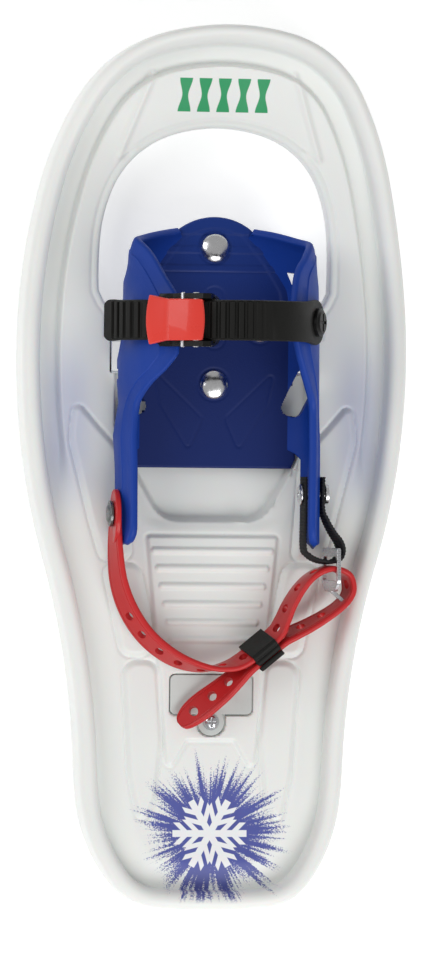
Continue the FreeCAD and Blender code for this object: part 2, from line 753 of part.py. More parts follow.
def make_cradle():
    """The moulded soft binding: footbed, toe corners, side walls and rear arms in one piece."""
    floor = size("plate_under") + size("plate_thick")
    right = [Vector(x, y, 0) for x, y in reversed(FOOTBED)]
    left = [Vector(-x, y, 0) for x, y in FOOTBED[1:]]
    tongue = [Part.Arc(right[-2], right[-1], left[0])]
    outline = [Part.LineSegment(a, b) for a, b in zip(right[:-1], right[1:-1])]
    outline += tongue + [Part.LineSegment(a, b) for a, b in zip(left, left[1:])]
    outline.append(Part.LineSegment(left[-1], right[0]))
    bed = extrude("bed", "XY", outline, "foot_thick", at=floor)
    solid = fuse(
        "cradle_solid", bed,
        wing("wing_right", RIGHT_SECTION, 1), wing("wing_left", LEFT_SECTION, -1),
        corner_wall("corner_right", 1), corner_wall("corner_left", -1),
    )
    cuts = []
    hole = size("shank_diameter") / 2 + size("running_gap")
    for i, (x, y) in enumerate(RIVETS):
        cuts.append(cylinder(f"bed_hole{i}", str(hole), "20", Vector(x, y, floor - 5)))
    for side in (1, -1):
        vent = block(f"vent{side + 1}", (-5, -11, 0), (5, 11, 22))
        turned = move(side * 40.0, 36.0, 12.0, Rotation(Vector(0, 0, 1), -side * 28))
        vent.Placement = turned * move(-5, -11, 0)
        cuts.append(vent)
        relief = extrude(
            f"relief{side + 1}", "XY", polygon([(side * 34, 90), (side * 38.5, 88), (side * 36, 81)]), "16",
            at=14.0,
        )
        cuts.append(relief)
    (sx, sz), normal = STRAP_RIVET_AT, STRAP_RIVET_NORMAL
    start = Vector(sx, STRAP_ALONG, sz) - normal * 15
    small_hole = "strap_shank / 2 + shank_clear"
    wide_hole = "shank_diameter / 2 + shank_clear"
    cuts.append(cylinder("strap_rivet_hole", small_hole, "20", start, normal))
    base = buckle_frame()
    cuts.append(cylinder(
        "buckle_rivet_hole", small_hole, "20", base.multVec(Vector(BUCKLE_RIVET_AT, 0, -20)),
        base.Rotation.multVec(Vector(0, 0, 1)),
    ))
    cuts.append(cylinder(
        "heel_rivet_hole", wide_hole, "16",
        Vector(-52, HEEL_RIVET[1], HEEL_RIVET[2]), Vector(1, 0, 0),
    ))
    cuts.append(cylinder(
        "webbing_rivet_hole", wide_hole, "16",
        Vector(36, WEB_RIVET[1], WEB_RIVET[2]), Vector(1, 0, 0),
    ))
    cradle = cut("binding_cradle", solid, *cuts)
    cradle.Refine = True
    node(cradle)


# ---------------------------------------------------------------- ladder strap and buckle

STRAP_ALONG = 67.5
BUCKLE_AT = (-24.0, 72.2)
BUCKLE_TILT = 23.0
STRAIGHT_RIGHT = 16.0
STRAIGHT_LEFT = 14.0
RIGHT_BEND = 37.12
RIGHT_DROP = 60.0
LEFT_BEND = 24.0
LEFT_DROP = 62.0
RIGHT_TAIL = 15.0
LEFT_TAIL = 13.0
RIDGE_PITCH = 3.6
RIDGE_RISE = 1.3
BUCKLE_RIVET_AT = -2.0
BUCKLE_UNDER = -8.3
LEVER_PIN = (7.6, 4.9)
PAWL_PIN = (1.6, 4.9)


def buckle_frame():
    """Local frame of the buckle: X up along the strap, Z out of it."""
    turn = Rotation(Vector(0, 1, 0), -BUCKLE_TILT)
    return Placement(Vector(BUCKLE_AT[0], STRAP_ALONG, BUCKLE_AT[1]), turn)


def strap_line():
    """Points of the ladder strap's centre line in X and Z with the direction at each."""
    tilt = math.radians(BUCKLE_TILT)
    x, z = BUCKLE_AT
    ahead = (math.cos(tilt), math.sin(tilt))
    right = [(x + ahead[0] * STRAIGHT_RIGHT, z + ahead[1] * STRAIGHT_RIGHT, tilt)]
    centre = (right[0][0] + RIGHT_BEND * math.sin(tilt), right[0][1] - RIGHT_BEND * math.cos(tilt))
    drop = math.radians(RIGHT_DROP)
    right.append((centre[0] + RIGHT_BEND * math.sin(drop), centre[1] + RIGHT_BEND * math.cos(drop), -drop))
    last = right[-1]
    right.append((last[0] + RIGHT_TAIL * math.cos(drop), last[1] - RIGHT_TAIL * math.sin(drop), -drop))
    left = [(x - ahead[0] * STRAIGHT_LEFT, z - ahead[1] * STRAIGHT_LEFT, tilt)]
    centre_left = (left[0][0] + LEFT_BEND * math.sin(tilt), left[0][1] - LEFT_BEND * math.cos(tilt))
    fall = math.radians(LEFT_DROP)
    end_x = centre_left[0] - LEFT_BEND * math.sin(fall)
    end_z = centre_left[1] + LEFT_BEND * math.cos(fall)
    left.append((end_x, end_z, fall))
    last = left[-1]
    left.append((last[0] - LEFT_TAIL * math.cos(fall), last[1] - LEFT_TAIL * math.sin(fall), fall))
    return right, left


def strap_rivet_place():
    """Where the strap's rivet sits and which way it faces."""
    right, _ = strap_line()
    x, z, slope = right[1]
    reach = 6.05
    at = (x + reach * math.cos(slope), z + reach * math.sin(slope))
    return at, Vector(-math.sin(slope), 0, math.cos(slope))


STRAP_RIVET_AT, STRAP_RIVET_NORMAL = strap_rivet_place()


def strap_path(offset):
    """The strap's line moved outwards, as a list of edges from right end to left end."""
    right, left = strap_line()

    def shift(point):
        x, z, slope = point
        return Vector(x - math.sin(slope) * offset, z + math.cos(slope) * offset, 0)

    tilt = math.radians(BUCKLE_TILT)
    mid_right = (tilt - math.radians(RIGHT_DROP)) / 2
    centre = (right[0][0] + RIGHT_BEND * math.sin(tilt), right[0][1] - RIGHT_BEND * math.cos(tilt))
    r = RIGHT_BEND + offset
    arc_right = Vector(centre[0] - r * math.sin(mid_right), centre[1] + r * math.cos(mid_right), 0)
    mid_left = (tilt + math.radians(LEFT_DROP)) / 2
    centre = (left[0][0] + LEFT_BEND * math.sin(tilt), left[0][1] - LEFT_BEND * math.cos(tilt))
    r = LEFT_BEND + offset
    arc_left = Vector(centre[0] - r * math.sin(mid_left), centre[1] + r * math.cos(mid_left), 0)
    return [
        Part.LineSegment(shift(right[2]), shift(right[1])),
        Part.Arc(shift(right[1]), arc_right, shift(right[0])),
        Part.LineSegment(shift(right[0]), shift(left[0])),
        Part.Arc(shift(left[0]), arc_left, shift(left[1])),
        Part.LineSegment(shift(left[1]), shift(left[2])),
    ]


def make_ladder_strap():
    """The ridged strap over the foot, arched from its rivet through the buckle."""
    half = size("strap_thick") / 2
    outer = strap_path(half)
    inner = strap_path(-half)
    ends = [
        Part.LineSegment(outer[-1].EndPoint, inner[-1].EndPoint),
        Part.LineSegment(inner[0].StartPoint, outer[0].StartPoint),
    ]
    band = extrude("strap_band", "XZ", outer + inner + ends, "strap_wide", at=-STRAP_ALONG, symmetric=True)
    pieces = [band]
    frame = buckle_frame()
    wide = size("strap_wide") - 5.5
    for i in range(8):
        along = STRAIGHT_RIGHT - 2.0 - i * RIDGE_PITCH
        ridge = block(f"ridge{i}", (0, 0, 0), (1.6, wide, RIDGE_RISE + 0.3))
        ridge.Placement = frame * move(along - 0.8, -wide / 2, half - 0.3)
        pieces.append(ridge)
    _, left = strap_line()
    tilt = math.radians(BUCKLE_TILT)
    centre = (left[0][0] + LEFT_BEND * math.sin(tilt), left[0][1] - LEFT_BEND * math.cos(tilt))
    turn = RIDGE_PITCH / (LEFT_BEND + half)
    arc_count = int((math.radians(LEFT_DROP) - tilt) / turn)
    for i in range(arc_count):
        slope = tilt + turn * (i + 0.7)
        ridge = block(f"arc_ridge{i}", (0, 0, 0), (1.6, wide, RIDGE_RISE + 0.3))
        ridge_x = centre[0] - LEFT_BEND * math.sin(slope)
        ridge_z = centre[1] + LEFT_BEND * math.cos(slope)
        at = Vector(ridge_x, STRAP_ALONG, ridge_z)
        ridge.Placement = Placement(at, Rotation(Vector(0, 1, 0), -math.degrees(slope))) \
            * move(-0.8, -wide / 2, half - 0.3)
        pieces.append(ridge)
    strap = fuse("strap_ridged", *pieces)
    (rx, rz), normal = STRAP_RIVET_AT, STRAP_RIVET_NORMAL
    foot = Vector(rx, STRAP_ALONG, rz) - normal * 10
    hole = cylinder("strap_hole", "strap_shank / 2 + shank_clear", "20", foot, normal)
    made = cut("ladder_strap", strap, hole)
    made.Refine = True
    node(made)

    outward = Rotation(Vector(0, 0, 1), normal)
    base = Placement(Vector(rx, STRAP_ALONG, rz) + normal * half, outward)
    rivet = new_body("ladder_strap_rivet", base)
    deep = size("strap_thick") + size("wall_thick") + 1.2
    revolve(rivet, "ladder_rivet_turned", polygon([
        (0, 2.6), (4.9, 2.6), (5.6, 2.0), (6.5, 1.6), (6.5, 0), (2.0, 0),
        (2.0, -deep - 1.0), (0, -deep - 1.0),
    ]))
    arms = 1.3
    cross = [(-4, -arms / 2), (4, -arms / 2), (4, arms / 2), (-4, arms / 2)]
    pocket(rivet, "cross_a", "XY", polygon(cross), "0.7", at=2.6)
    pocket(rivet, "cross_b", "XY", polygon([(y, x) for x, y in reversed(cross)]), "0.7", at=2.6)
    node(rivet)
    washer_at = Placement(Vector(rx, STRAP_ALONG, rz) + normal * (half - deep), outward)
    washer = new_body("ladder_rivet_washer", washer_at)
    revolve(washer, "ladder_washer_turned", polygon([(2.05, 0), (5.5, 0), (5.5, -1.2), (2.05, -1.2)]))
    node(washer)


def make_buckle():
    """The ratchet buckle on the left wall: base, pin, red lever, pawl, springs and rivet."""
    frame = buckle_frame()
    strap_half = size("strap_thick") / 2
    floor_top = -strap_half - 0.35
    base = new_body("buckle_base", frame)
    wide = 24.0
    inner_half = size("strap_wide") / 2 + 0.4
    floor_plan = [(16, -wide / 2), (16, wide / 2), (-13, wide / 2), (-13, -wide / 2)]
    pad(base, "base_floor", "XY", rounded(floor_plan, 4.5),
        floor_top - BUCKLE_UNDER, at=BUCKLE_UNDER)
    cheek = [
        (14.5, floor_top - 0.5), (14.5, 4.5), (11.5, 7.4), (5.0, 7.4), (-4.0, 1.5),
        (-11.0, floor_top - 0.5),
    ]
    for side, name in ((1, "cheek_a"), (-1, "cheek_b")):
        start = inner_half if side > 0 else -wide / 2
        pad(base, name, "XZ", polygon(cheek), wide / 2 - inner_half, at=-start - (wide / 2 - inner_half))
    pocket(base, "pin_hole", "XZ", circle(LEVER_PIN[0], LEVER_PIN[1], 1.55), "60", symmetric=True)
    pocket(base, "pawl_pin_hole", "XZ", circle(PAWL_PIN[0], PAWL_PIN[1], 1.05), "60", symmetric=True)
    rivet_hole = size("strap_shank") / 2 + size("shank_clear")
    pocket(base, "rivet_hole", "XY", circle(BUCKLE_RIVET_AT, 0, rivet_hole), "60", symmetric=True)
    pocket(base, "rivet_seat", "XY", circle(BUCKLE_RIVET_AT, 0, 4.6), "1.8", at=floor_top)
    node(base)

    across = Rotation(Vector(0, 0, 1), Vector(0, 1, 0))
    for label, place, radius in (("lever_pin", LEVER_PIN, 1.5), ("pawl_pin", PAWL_PIN, 1.0)):
        half = wide / 2 + 0.4
        at = frame * Placement(Vector(place[0], -half, place[1]), across)
        pin = new_body(label, at)
        revolve(pin, label + "_turned", polygon([
            (0, 0), (radius - 0.3, 0), (radius, 0.3), (radius, 2 * half - 0.3), (radius - 0.3, 2 * half),
            (0, 2 * half),
        ]))
        node(pin)

    lever = new_body("buckle_lever", frame)
    arms = inner_half - 0.5
    top = [
        (-15.2, 4.6), (-15.2, 6.4), (-4.0, 9.6), (9.0, 10.4), (12.6, 8.8), (12.8, 7.9),
        (9.0, 7.7), (-4.0, 7.7),
        (-12.5, 4.4),
    ]
    pad(lever, "lever_top", "XZ", polygon(top), str(2 * inner_half - 0.5), symmetric=True)
    flare = [(-15.2, 4.6), (-15.2, 6.4), (-9.0, 8.2), (-9.0, 5.9), (-12.5, 4.4)]
    pad(lever, "lever_flare", "XZ", polygon(flare), "22", symmetric=True)
    ear = [(2.5, 8.2), (5.0, 3.6), (8.2, 1.8), (11.0, 3.6), (11.6, 8.2)]
    for name, start in (("lever_ear_a", arms - 2.4), ("lever_ear_b", -arms)):
        pad(lever, name, "XZ", polygon(ear), "2.4", at=-start - 2.4)
    pocket(lever, "lever_bore", "XZ", circle(LEVER_PIN[0], LEVER_PIN[1], 1.55), "60", symmetric=True)
    node(lever)

    pawl = new_body("buckle_pawl", frame)
    tooth = [
        (PAWL_PIN[0] + 1.9, PAWL_PIN[1] + 1.7), (PAWL_PIN[0] - 1.0, PAWL_PIN[1] + 1.9),
        (PAWL_PIN[0] - 5.6, 3.9), (PAWL_PIN[0] - 6.6, 2.8), (PAWL_PIN[0] - 1.4, PAWL_PIN[1] - 1.6),
        (PAWL_PIN[0] + 1.9, PAWL_PIN[1] - 1.5),
    ]
    pad(pawl, "pawl_blade", "XZ", polygon(tooth), "13", symmetric=True)
    pocket(pawl, "pawl_bore", "XZ", circle(PAWL_PIN[0], PAWL_PIN[1], 1.05), "60", symmetric=True)
    node(pawl)

    spring = new_body("torsion_coil")
    revolve(spring, "coil_turned", polygon([(1.7, -0.9), (2.4, -0.9), (2.4, 0.9), (1.7, 0.9)]))
    seats = [frame * Placement(Vector(LEVER_PIN[0], y, LEVER_PIN[1]), across) for y in (-5.6, 5.6)]
    node(group("lever_springs", spring, seats))

    rivet = new_body("buckle_rivet", frame * move(BUCKLE_RIVET_AT, 0, floor_top - 1.8))
    reach = floor_top - 1.8 - BUCKLE_UNDER + size("wall_thick") + 0.25
    revolve(rivet, "buckle_rivet_turned", polygon([
        (0, 1.3), (2.8, 1.3), (4.3, 0.4), (4.3, 0), (2.0, 0),
        (2.0, -reach), (4.6, -reach), (4.6, -reach - 1.4),
        (0, -reach - 1.4),
    ]))
    node(rivet)


# ---------------------------------------------------------------- heel strap

# Routes give each point's x, y and z and the band's lean in degrees.
HEEL_RIVET = (-46.2, -20.7, 37.0)
WEB_RIVET = (46.6, -11.0, 37.0)
HEEL_ROUTE = [
    (-48.0, -20.7, 37.0, 2), (-48.4, -36.0, 36.2, 4), (-46.8, -52.0, 34.8, 10), (-41.5, -67.0, 33.9, 18),
    (-32.5, -79.0, 33.6, 24), (-20.0, -88.0, 33.6, 27), (-6.0, -92.2, 33.7, 27), (4.6, -91.6, 33.8, 25),
    (13.1, -87.1, 33.9, 20), (27.0, -75.7, 33.9, 20), (30.6, -69.6, 34.3, 15), (33.6, -62.4, 35.0, 12),
    (38.0, -54.8, 35.8, 9), (43.0, -49.2, 36.3, 5), (48.6, -46.0, 36.2, 2), (54.8, -45.2, 35.2, 0),
    (60.2, -48.0, 34.2, -6), (62.0, -53.2, 33.5, -10), (61.0, -58.0, 33.1, -9), (57.0, -62.6, 32.9, -9),
    (50.2, -67.4, 32.7, -12), (42.9, -71.6, 32.6, -16), (36.0, -75.0, 32.5, -19), (29.5, -78.7, 32.5, -20),
    (15.6, -90.1, 32.5, -20), (9.5, -95.8, 32.0, -26), (3.2, -102.0, 31.0, -34), (-3.6, -107.4, 29.6, -44),
    (-10.6, -111.8, 28.0, -54),
]
WEB_ROUTE = [
    (39.6, -3.0, 37.0, 0), (39.6, -20.0, 37.0, 0), (39.6, -35.4, 36.9, 0), (41.8, -39.0, 36.6, -2),
    (45.6, -41.2, 36.0, -4), (49.6, -42.1, 35.4, -3), (53.4, -42.0, 34.8, 0), (56.6, -40.3, 34.3, 6),
    (57.6, -36.8, 34.4, 8), (56.4, -32.8, 35.0, 8), (53.2, -28.4, 35.8, 5), (49.8, -22.6, 36.8, 2),
    (47.9, -17.0, 37.0, 0), (47.9, -3.0, 37.0, 0),
]
KEEPER_AT = (21.3, -82.9, 33.2)
KEEPER_TURN = 39.5
KEEPER_LEAN = 20.0
KEEPER_SPREAD = 2.05
KEEPER_WALL = 1.1
HOOK_AT = (53.2, -37.6, 35.2)
HOOK_TURN = -80.0
PRONG_FROM = (53.3, -55.1, 34.2)
PRONG_ALONG = Vector(8.45, -7.5, 0).normalize()


def band_sections(route, wide, thick):
    """Rectangles square to the route; the fourth number leans the band's top to its right."""
    sections = []
    for i, (x, y, z, lean) in enumerate(route):
        before = route[max(i - 1, 0)]
        after = route[min(i + 1, len(route) - 1)]
        along = Vector(after[0] - before[0], after[1] - before[1], after[2] - before[2]).normalize()
        side = along.cross(Vector(0, 0, 1)).normalize()
        tilt = math.radians(lean)
        up = side.cross(along)
        rise = up * math.cos(tilt) + side * math.sin(tilt)
        face = side * math.cos(tilt) - up * math.sin(tilt)
        centre = Vector(x, y, z)
        corners = [
            centre + rise * (a * wide / 2) + face * (b * thick / 2)
            for a, b in ((1, 1), (1, -1), (-1, -1), (-1, 1))
        ]
        sections.append(Part.makePolygon(corners + corners[:1]))
    return sections


def band(route, wide, thick):
    """A flat strap as one ruled solid through its sections."""
    return Part.makeLoft(band_sections(route, wide, thick), True, True)


def make_heel_strap():
    """The perforated strap behind the heel, threaded through keeper and hook buckle."""
    wide, thick = size("heel_wide"), size("heel_thick")
    strip = band(HEEL_ROUTE, wide, thick)
    rx, ry, rz = HEEL_RIVET
    disc = Part.makeCylinder(10.5, thick, Vector(rx - 0.5 - thick, ry, rz), Vector(1, 0, 0))
    hole = Part.makeCylinder(2.9, 30, Vector(rx - 15, ry, rz), Vector(1, 0, 0))
    px, py, pz = PRONG_FROM
    pierced = Part.makeCylinder(2.3, 7.0, Vector(px, py, pz) + PRONG_ALONG * 3.0, PRONG_ALONG)
    shape = strip.fuse(disc).cut(hole).cut(pierced)
    strap = doc.addObject("Part::Feature", "heel_strap")
    strap.Shape = shape.removeSplitter()
    node(strap)

    rivet = new_body("heel_strap_rivet", Placement(
        Vector(rx - 0.5 - thick - 0.4, ry, rz), Rotation(Vector(0, 0, 1), Vector(-1, 0, 0))))
    reach = 0.4 + thick + 0.5 + size("wall_thick") + 1.5
    revolve(rivet, "heel_rivet_turned", polygon([
        (0, 2.4), (3.4, 2.4), (4.2, 1.8), (6.0, 1.4), (6.0, 0), (2.5, 0), (2.5, -reach), (5.0, -reach),
        (5.0, -reach - 1.4), (0, -reach - 1.4),
    ]))
    node(rivet)


def make_keeper():
    """The moulded keeper: a closed slot for the strap and an open one for its tail."""
    x, y, z = KEEPER_AT
    turn = Rotation(Vector(0, 0, 1), KEEPER_TURN) * Rotation(Vector(1, 0, 0), KEEPER_LEAN)
    keeper = new_body("strap_keeper", move(x, y, z, turn))
    half_wide = size("heel_wide") / 2 + 0.3
    slot_half = size("heel_thick") / 2 + 0.2
    half_thick = KEEPER_SPREAD + slot_half + KEEPER_WALL
    top = half_wide + KEEPER_WALL
    outline = [(half_thick, top), (half_thick, -top), (-half_thick, -top), (-half_thick, top)]
    length = size("keeper_length")
    pad(keeper, "keeper_block", "YZ", rounded(outline, 1.0), "keeper_length", at=-length / 2)
    slots = (("closed_slot", KEEPER_SPREAD, half_wide), ("open_slot", -KEEPER_SPREAD, top + 2))
    for name, middle, reach in slots:
        slot = [
            (middle + slot_half, reach), (middle + slot_half, -half_wide),
            (middle - slot_half, -half_wide), (middle - slot_half, reach),
        ]
        pocket(keeper, name, "YZ", rounded(slot, 0.3), "60", symmetric=True)
    node(keeper)


def make_webbing():
    """The ribbed webbing loop on the right arm, and its rivet."""
    x, y, z = WEB_RIVET
    wide, thick = size("web_wide"), size("web_thick")
    hole = Part.makeCylinder(2.9, 40, Vector(x - 20, y, z), Vector(1, 0, 0))
    loop = doc.addObject("Part::Feature", "webbing_loop")
    loop.Shape = band(WEB_ROUTE, wide, thick).cut(hole).removeSplitter()
    node(loop)

    inside = WEB_ROUTE[0][0] - thick / 2 - 0.25
    reach = WEB_ROUTE[-1][0] + thick / 2 + 0.65 - inside
    rivet = new_body("webbing_rivet", move(inside, y, z, Rotation(Vector(0, 0, 1), Vector(-1, 0, 0))))
    revolve(rivet, "webbing_rivet_turned", polygon([
        (0, 1.0), (1.6, 1.0), (1.6, 1.6), (3.6, 1.6), (4.8, 0.8), (4.8, 0), (2.5, 0), (2.5, -reach),
        (4.6, -reach), (4.6, -reach - 1.6), (0, -reach - 1.6),
    ]))
    node(rivet)


def make_hook_buckle():
    """The stamped steel hook: a bar for the webbing, a window for the strap and a prong."""
    turn = Rotation(Vector(0, 1, 0), HOOK_TURN)
    plate = new_body("hook_plate", move(*HOOK_AT, turn))
    outer = [
        (9.8, 2.0, 1.2), (10.6, -14.0, 4.0), (6.0, -18.1, 3.0),
        (-6.0, -18.1, 3.0), (-10.6, -14.0, 4.0),
    ]
    outer.append((-9.8, 2.0, 1.2))
    window = [(7.9, -2.0), (8.7, -13.0), (-8.7, -13.0), (-7.9, -2.0)]
    pad(plate, "hook_sheet", "XY", rounded(outer, 1.5), "hook_thick", symmetric=True)
    pocket(plate, "hook_window", "XY", rounded(window, 1.0), "20", symmetric=True)
    prong_plan = [(52.5, -53.4), (54.1, -53.4), (54.1, -54.6), (62.3, -62.0), (61.2, -63.2), (52.5, -55.6)]
    prong = extrude("prong", "XY", polygon(prong_plan), "3", at=PRONG_FROM[2] - 1.5)
    node(fuse("hook_buckle", plate, prong))


# ---------------------------------------------------------------- light unit


def make_light_unit():
    """Door, seal, screw and insert, and what the cavity below the door holds."""
    seat = size("raised_top") - size("door_thick")
    screw_y = size("screw_along")
    door = new_body("battery_door")
    pad(door, "door_plate", "XY", door_edges(0), "door_thick", at=seat)
    pocket(door, "screw_clearance", "XY", circle(0, screw_y, 1.55), "60", symmetric=True)
    node(door)

    gasket = new_body("door_gasket")
    pad(gasket, "gasket_ring", "XY", rounded(cavity_outline(1.9), 3.5) + rounded(cavity_outline(0.7), 2.6),
        "0.7", at=seat - 0.8)
    node(gasket)

    screw = new_body("door_screw", move(0, screw_y, size("raised_top") + 0.05))
    dome = [
        (0, 2.3), (1.8, 2.2), (3.1, 1.5), (3.75, 0.5), (3.75, 0), (1.48, 0),
        (1.48, -9.0), (0.9, -10.0), (0, -10.0),
    ]
    revolve(screw, "screw_turned", polygon(dome))
    slot = [(-2.1, -0.45), (2.1, -0.45), (2.1, 0.45), (-2.1, 0.45)]
    pocket(screw, "drive_a", "XY", polygon(slot), "1.3", at=2.6)
    pocket(screw, "drive_b", "XY", polygon([(y, x) for x, y in reversed(slot)]), "1.3", at=2.6)
    node(screw)

    insert = new_body("screw_insert", move(0, screw_y, 8.6))
    revolve(insert, "insert_turned", polygon([(1.53, 0), (2.3, 0), (2.3, 10.5), (1.53, 10.5)]))
    node(insert)

    floor = size("cavity_floor") + 0.1
    tray = new_body("cell_tray")
    block = [(15.6, -97.2), (15.6, -110.8), (-15.6, -110.8), (-15.6, -97.2)]
    pad(tray, "tray_block", "XY", rounded(block, 1.6),
        "4.8", at=floor)
    for name, x in (("cell_seat_a", 7.2), ("cell_seat_b", -7.2)):
        pocket(tray, name, "XY", circle(x, -104, 6.0), "3.8", at=floor + 4.8)
    node(tray)
    cell = new_body("button_cell")
    profile = [(0, 0), (5.2, 0), (5.8, 0.5), (5.8, 3.0), (5.0, 3.0), (5.0, 3.5), (0, 3.5)]
    revolve(cell, "cell_turned", polygon(profile))
    node(group("button_cells", cell, [move(x, -104, floor + 1.1) for x in (7.2, -7.2)]))

    clip = new_body("contact_clip")
    pad(clip, "clip_strip", "XY", box_outline(-3.4, 3.4, -1.4, 1.4), "0.9")
    node(group("cell_contacts", clip, [move(x, -104, floor + 4.85) for x in (7.2, -7.2)]))

    board = new_body("circuit_board")
    sheet = [(15.4, -97.4), (15.4, -110.6), (-15.4, -110.6), (-15.4, -97.4)]
    pad(board, "board_sheet", "XY", rounded(sheet, 1.4),
        "1.2", at=floor + 5.8)
    node(board)
    board_top = floor + 7.0

    lamp = new_body("led")
    profile = [(0, 0), (4.1, 0), (4.1, 1.0), (3.6, 1.0), (3.6, 2.8), (2.4, 4.4), (0, 5.0)]
    revolve(lamp, "led_turned", polygon(profile))
    node(group("leds", lamp, [move(x, -104, board_top) for x in (-10.0, 10.0)]))

    switch = new_body("motion_switch", Placement(
        Vector(-4.5, -101.5, board_top + 1.9), Rotation(Vector(0, 0, 1), Vector(1, 0, 0))))
    profile = [(0, 0), (1.5, 0), (1.8, 0.4), (1.8, 8.6), (1.5, 9.0), (0, 9.0)]
    revolve(switch, "switch_turned", polygon(profile))
    node(switch)

    chip = new_body("driver_chip", move(0, -107.2, board_top))
    pad(chip, "chip_body", "XY", box_outline(-2.6, 2.6, -1.9, 1.9), "1.6")
    node(chip)


# ---------------------------------------------------------------- build and write


def check_document():
    """Stop on any failed feature or bad solid."""
    for thing in doc.Objects:
        if {"Invalid", "Error"} & set(thing.State):
            raise SystemExit(f"{thing.Name} failed: {thing.State}")
    labels = [part.Label for part in NODES]
    if len(labels) != len(set(labels)):
        raise SystemExit("two sub-parts share a label")
    for part in NODES:
        shape = part.Shape
        if shape.isNull() or not shape.isValid() or not shape.Solids:
            raise SystemExit(f"{part.Label} has no valid solid")


def write_parts():
    os.makedirs("parts", exist_ok=True)
    for part in NODES:
        part.Shape.exportStep(f"parts/{part.Label}.step")


fill_sheet()
make_deck()
make_pivot()
make_crampon()
make_cradle()
make_ladder_strap()
make_buckle()
make_heel_strap()
make_keeper()
make_webbing()
make_hook_buckle()
make_light_unit()
doc.recompute()
check_document()
write_parts()
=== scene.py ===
"""Looks of the child's moulded snowshoe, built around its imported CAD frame.

Shapes are worked out in millimetres in the part's own frame (X across, Y towards the toe, Z up)
and written to Blender in metres. The deck is a fine height field with a rolled rim swept round
it, the binding a lofted shell, and the straps are swept bands.
"""

import json
import math
from contextlib import contextmanager

